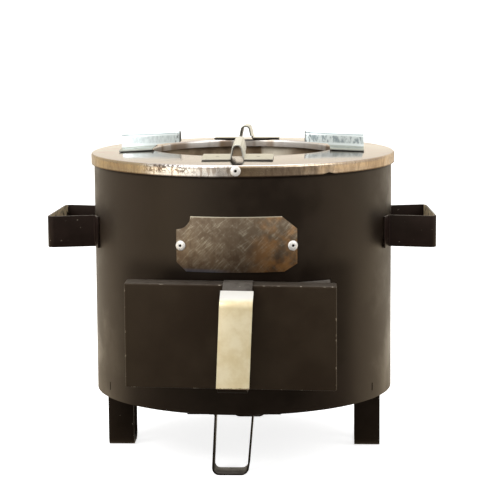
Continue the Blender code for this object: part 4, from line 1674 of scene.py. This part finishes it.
@dataclass
class Rivets(BodyPart):
    """The blind rivets of the name plate and of the ring's edge, with their broken pins."""

    plate_sheet: float = 1.0 * MM
    shank: Pair = (2.3, -2.2)
    head: Profile = ((2.3, 0.0), (4.6, 0.0), (4.75, 0.18), (4.65, 0.5), (4.2, 0.85), (3.3, 1.2),
                     (2.3, 1.45), (1.7, 1.52), (1.45, 1.45), (1.3, 1.2), (1.3, 0.3))
    pin: Profile = ((1.15, 0.2), (1.15, 0.75), (0.95, 0.95), (0.5, 0.85), (0.15, 0.8))
    corners: int = 40

    def stamp(self, name: str, profile: Profile) -> Piece:
        """Turns a small piece from a profile in millimetres."""
        sized = [(radius * MM, height * MM) for radius, height in profile]
        return turned(name, NOWHERE, sized, self.corners, closed=False)

    def build(self) -> None:
        """Sets a head and a pin over each rivet node."""
        head = self.stamp("rivet", (self.shank, *self.head))
        pin = self.stamp("rivet_pin", self.pin)
        plate_seat = self.body.radius + GAP + self.plate_sheet
        seats = {"name_plate_rivet_left": plate_seat, "name_plate_rivet_right": plate_seat}
        seats |= {"rim_rivet_%d" % i: Span.of("top_plate").size.x / 2 for i in (1, 2, 3)}
        for node, seat in seats.items():
            spot = Span.of(node).centre
            way = self.body.away(spot).normalized()
            foot = self.body.axis + way * seat + UP * spot.z
            matrix = Matrix.Translation(foot) @ way.to_track_quat("Z", "Y").to_matrix().to_4x4()
            for first, ending, finish in ((head, "_head", self.finishes.rivet),
                                          (pin, "_pin", self.finishes.pin)):
                copy = first.copy(node + ending).place(matrix)
                copy.fit(Body.STOVE, Slot.RIVET, finish, node, degrees=40)
        for first in (head, pin):
            bpy.data.objects.remove(first.object)


@dataclass
class Drawer(BodyPart):
    """The ash drawer: its duct, folded front, tray, painted strap and bare grip."""

    front_sheet: float = 1.2 * MM
    tray_sheet: float = 1.0 * MM
    fold: float = 2.0 * MM
    tray_fold: float = 1.2 * MM
    ash_hole: float = 64 * MM
    hole_cut: float = 6 * MM
    hole_corners: int = 96
    strap_width: float = 27 * MM
    strap_sheet: float = 1.5 * MM
    strap_foot: float = 16 * MM
    strap_lean: float = math.tan(math.radians(2.6))
    upright_height: float = 136 * MM
    knee_height: float = 172.6 * MM
    heel_height: float = 92 * MM
    strap_radii: Sequence[float] = (5 * MM, 8 * MM, 3 * MM, 5 * MM)
    grip_width: float = 29.8 * MM
    grip_sheet: float = 0.8 * MM
    grip_lip: float = 5 * MM
    grip_run_up: float = 11.4 * MM
    grip_bottom: float = 95 * MM

    def __post_init__(self) -> None:
        """Works out the strap's bent line: (forward, height) corners, before it leans."""
        self.front = DrawerFront()
        cap = self.front.span
        half = self.strap_sheet / 2
        front = -Span.of("drawer_handle").low.y - half
        edge = GAP + half - cap.low.y
        foot = -cap.low.y - self.strap_foot
        top = cap.high.z + GAP + half
        bottom = cap.low.z - GAP - half
        self.strap_line = [(foot, top), (edge, top), (front, self.knee_height),
                           (front, self.heel_height), (edge, bottom), (foot, bottom)]

    def leaning(self, spot: Vector) -> Vector:
        """How the strap's points move as it leans to the right and droops with the front."""
        lean = SIDEWAYS * (spot.z - self.upright_height) * self.strap_lean
        return lean + self.front.droop_at(spot + lean)

    def build_boxes(self) -> None:
        """Folds the duct with its ash hole, the drawer's front and the tray."""
        span = Span.of("drawer_duct")
        duct = folded_box("duct_box", span, self.front_sheet, self.fold, FORWARD)
        centre = Vector((*self.body.axis.xy, span.high.z))
        duct.cut(Piece.rod("hole_cutter", centre, UP, self.ash_hole, self.hole_cut,
                           self.hole_corners))
        duct.fit(Body.STOVE, Slot.PAINT, self.finishes.inner_paint, "drawer_duct")
        front = folded_box("drawer_face", self.front.span, self.front_sheet, self.fold, -FORWARD)
        front.shift(self.front.droop_at)
        front.fit(Body.DRAWER, Slot.PAINT, self.finishes.drawer_paint, "drawer_front")
        tray = folded_box("tray_box", Span.of("ash_tray"), self.tray_sheet, self.tray_fold, UP)
        tray.fit(Body.DRAWER, Slot.PAINT, self.finishes.inner_paint, "ash_tray")

    def build_strap(self) -> None:
        """Bends the strap over the front's top edge and under its heel."""
        half = self.strap_width / 2
        strap = Bending(self.strap_line, self.strap_radii, ((0, -half), (0, half)),
                        self.strap_sheet, FORWARD).bend("handle_strap")
        strap.shift(self.leaning)
        strap.fit(Body.DRAWER, Slot.PAINT, self.finishes.frame_paint, "drawer_handle")

    def build_grip(self) -> None:
        """Folds the bare channel round the strap, open at the back."""
        edge, knee, heel = (Vector(corner) for corner in self.strap_line[1:4])
        slope = (knee - edge).normalized()
        radius = self.strap_radii[1]
        reach = radius * math.tan(slope.angle(Vector((0, -1))) / 2)
        start = knee - slope * (reach + self.grip_run_up)
        half = self.grip_width / 2 - self.grip_sheet / 2
        lip = self.grip_width / 2 - self.grip_lip
        off = self.strap_sheet / 2 + GAP + self.grip_sheet / 2
        section = ((-off, -lip), (-off, -half), (off, -half), (off, half), (-off, half), (-off, lip))
        grip = Bending([tuple(start), tuple(knee), (heel.x, self.grip_bottom)], (radius,), section,
                       self.grip_sheet, FORWARD, bend_steps=12).bend("handle_grip")
        grip.shift(self.leaning)
        grip.fit(Body.DRAWER, Slot.BARE, self.finishes.grip, "drawer_grip")

    def build(self) -> None:
        """Makes every piece of the drawer."""
        self.build_boxes()
        self.build_strap()
        self.build_grip()


@dataclass
class HiddenPieces(Assembly):
    """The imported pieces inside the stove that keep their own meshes."""

    nodes: dict[str, bpy.types.Object]

    def build(self) -> None:
        """Gives each its finish in its own slots."""
        for name, finish in (("insulation_ring", self.finishes.wool),
                             ("shelf_plate", self.finishes.inner_paint),
                             ("base_plate", self.finishes.frame_paint)):
            for slot in self.nodes[name].material_slots:
                slot.material = finish
            LOG.info("%s keeps its packed mesh", name)


# The studio


@dataclass(frozen=True)
class Room(Finish):
    """What the floor and the world share: a dark front, a bright panel, warm walls and a painted
    shadow round the stove's foot.

    The ways are turns from the front, each facing says how closely a direction has
    to point, and each reach is a distance on the floor. Only mirrored rays see these
    parts; the camera sees white.
    """

    axis: Vector
    dark_way: float = math.radians(24)
    dark_facing: Pair = (0.5, 0.92)
    dark_reach: Ramp = (0.2, 0.35, 0.0, 0.9)
    foot_facing: Pair = (-0.2, 0.6)
    foot_reach: Ramp = (1.1, 0.6, 0.0, 0.8)
    panel_way: float = math.radians(-37)
    panel_facing: Pair = (0.84, 0.98)
    panel_reach: Ramp = (0.9, 1.5, 0.0, 2.4)
    dark_sides: Ramp = (0.72, 0.96, 0.0, 0.28)
    warm_sides: Pair = (0.5, 0.9)
    low_light: Pair = (0.5, -0.1)
    glow: float = 0.8
    white: Triple = (1.0, 1.0, 1.0)
    dark: Triple = (0.05, 0.04, 0.03)
    wall: Triple = (0.85, 0.77, 0.64)
    side_wall: Triple = (0.88, 0.73, 0.52)
    paper: tuple[Triple, Triple] = (srgb(236, 236, 235), srgb(241, 241, 240))
    bright_room: Triple = (1.0, 0.95, 0.87)
    dim_room: Triple = (0.2, 0.17, 0.145)
    soft_light: Triple = (0.55, 0.55, 0.55)

    def facing(self, way: Value, angle: float) -> Value:
        """How closely a direction points, level with the floor, at an angle from the front."""
        level = (way * (1.0, 1.0, 0.0)).sum("NORMALIZE")
        return level.sum("DOT_PRODUCT", (math.sin(angle), -math.cos(angle), 0.0), output=1)

    def aside(self, way: Value) -> Value:
        """How closely a direction points straight to the left or the right."""
        return abs(self.facing(way, math.pi / 2))

    def dark_quarter(self, way: Value) -> Value:
        """How much a direction points at the room's dark front or, more weakly, its sides."""
        front = self.facing(way, self.dark_way).ramp(*self.dark_facing)
        return front.most(self.aside(way).ramp(*self.dark_sides))

    def look(self, graph: Graph) -> Inputs:
        """The floor's paper, with the room painted on it for mirrored rays.

        Args:
            graph: the material's tree.

        Returns:
            The shader's inputs.
        """
        camera, mirrored_ray, through = (graph.add("LightPath", output="Is %s Ray" % kind)
                                         for kind in ("Camera", "Glossy", "Transmission"))
        away = graph.spot() - self.axis
        reach = away.sum("LENGTH", output=1)
        near = self.dark_quarter(away) * reach.ramp(*self.dark_reach)
        # Painted shadow: mirrored rays see the floor darker just in front of the stove's foot.
        foot = reach.ramp(*self.foot_reach) * self.facing(away, 0.0).ramp(*self.foot_facing)
        dark = near.most(foot) * mirrored_ray
        ahead = self.facing(away, self.panel_way).ramp(*self.panel_facing)
        panel = reach.ramp(*self.panel_reach) * ahead * mirrored_ray
        tint = self.aside(away).ramp(*self.warm_sides).blend(self.wall, self.side_wall)
        seen = camera.most(mirrored_ray.most(through))
        colour = graph.mottle(0.4).blend(*self.paper).coated(
            (mirrored_ray, tint), (dark, self.dark))
        return {"Base Color": colour, "Roughness": 0.9, "Specular IOR Level": 0.0,
                "Emission Color": mirrored_ray.blend(self.white, tint),
                "Emission Strength": (seen + panel - dark) * self.glow}

    def light(self) -> None:
        """Lights the room: white all round, dimmer low down behind the camera."""
        world = bpy.data.worlds.new("studio")
        bpy.context.scene.world = world
        world.use_nodes = True
        graph = Graph(world.node_tree)
        way = graph.add("TexCoord", output="Generated")
        dim = self.dark_quarter(way) * way.parts()[2].ramp(*self.low_light)
        diffuse, camera = (graph.add("LightPath", output="Is %s Ray" % kind)
                           for kind in ("Diffuse", "Camera"))
        colour = dim.blend(self.bright_room, self.dim_room).coated(
            (diffuse, self.soft_light), (camera, self.white))
        graph.feed(world.node_tree.nodes["Background"], {"Color": colour, "Strength": 1.0})


@dataclass
class Studio:
    """A pale floor and backdrop, soft light and the photograph's camera."""

    axis: Vector
    distance: float = 1.9506
    height: float = 0.4756
    pitch: float = 0.1439
    roll: float = -0.0064
    heading: float = 0.0033
    turn: float = math.radians(2.6)
    lens: float = 144.1
    sensor: float = 36.0
    sight: float = 50.0
    floor_front: float = -1.3
    floor_edge: float = 3.0
    floor_bend: float = 1.0
    floor_sheet: float = 1 * MM
    aim_height: float = 0.2
    lamps: Sequence[tuple[str, Triple, float, float]] = (("key", (-1.3, -1.6, 1.9), 1.2, 26),
                                                         ("fill", (1.6, -1.0, 1.4), 1.2, 10),
                                                         ("top", (0, 0.4, 2.2), 1.4, 16))

    def add(self, name: str, data: bpy.types.ID, matrix: Matrix) -> bpy.types.Object:
        """Puts a camera or a lamp in its place.

        Args:
            name: its name.
            data: its camera or lamp data.
            matrix: its place and turn.

        Returns:
            The object.
        """
        item = bpy.data.objects.new(name, data)
        bpy.context.scene.collection.objects.link(item)
        item.matrix_world = matrix
        return item

    def add_camera(self) -> None:
        """Stands the camera where the photograph was taken."""
        sine, cosine = math.sin(self.heading), math.cos(self.heading)
        ahead = Vector((sine * math.cos(self.pitch), cosine * math.cos(self.pitch),
                        -math.sin(self.pitch)))
        level = Vector((cosine, -sine, 0))
        upright = level.cross(ahead)
        right = level * math.cos(self.roll) + upright * math.sin(self.roll)
        up = upright * math.cos(self.roll) - level * math.sin(self.roll)
        matrix = Matrix((right, up, -ahead)).transposed().to_4x4()
        matrix.translation = Vector((0, -self.distance, self.height))
        data = bpy.data.cameras.new("camera")
        data.lens = self.lens
        data.sensor_width = self.sensor
        data.clip_end = self.sight
        turn = Matrix.Translation(self.axis) @ Matrix.Rotation(self.turn, 4, "Z")
        bpy.context.scene.camera = self.add("camera", data, turn @ matrix)

    def add_lamp(self, name: str, offset: Triple, size: float, power: float) -> None:
        """Hangs one soft square lamp that faces the stove.

        Args:
            name: the lamp's name.
            offset: its place from the foot of the stove's axis.
            size: its edge.
            power: its watts.
        """
        data = bpy.data.lights.new(name, "AREA")
        data.size = size
        data.energy = power
        aim = UP * self.aim_height - Vector(offset)
        turn = aim.to_track_quat("-Z", "Y").to_matrix().to_4x4()
        self.add(name, data, Matrix.Translation(self.axis + Vector(offset)) @ turn)

    def add_floor(self, room: Room) -> None:
        """Lays a floor that runs up behind into a backdrop.

        Args:
            room: what is painted on it.
        """
        edge = self.floor_edge
        level = -self.floor_sheet / 2
        floor = Bending([(self.floor_front, level), (edge, level), (edge, edge)],
                        (self.floor_bend,),
                        ((0, -edge), (0, edge)), self.floor_sheet, -FORWARD,
                        bend_steps=24).bend("floor")
        floor.smooth()
        floor.object.data.materials.clear()
        floor.object.data.materials.append(room.make())

    def build(self) -> None:
        """Sets up the whole studio."""
        room = Room("floor_paper", self.axis)
        self.add_camera()
        self.add_floor(room)
        room.light()
        for lamp in self.lamps:
            self.add_lamp(*lamp)
        bpy.context.scene.view_settings.view_transform = "Standard"


def main() -> None:
    """Builds the stove round its frame."""
    logging.basicConfig(level=logging.INFO, format="%(name)s: %(message)s")
    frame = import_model()
    axis = Vector((*Span.of("body_shell").centre.xy, 0))
    finishes = Finishes(axis)
    Studio(axis).build()
    body = RoundBody(finishes, axis)
    ring = TopRing(finishes, body)
    for assembly in (body, ring, Firebox(finishes, body), PotRests(finishes, body, ring),
                     Legs(finishes, body), SideHandles(finishes, body), NamePlate(finishes, body),
                     Rivets(finishes, body), Drawer(finishes, body),
                     HiddenPieces(finishes, frame["nodes"])):
        assembly.build()
        LOG.info("%s done", type(assembly).__name__)


if __name__ == "__main__":
    main()
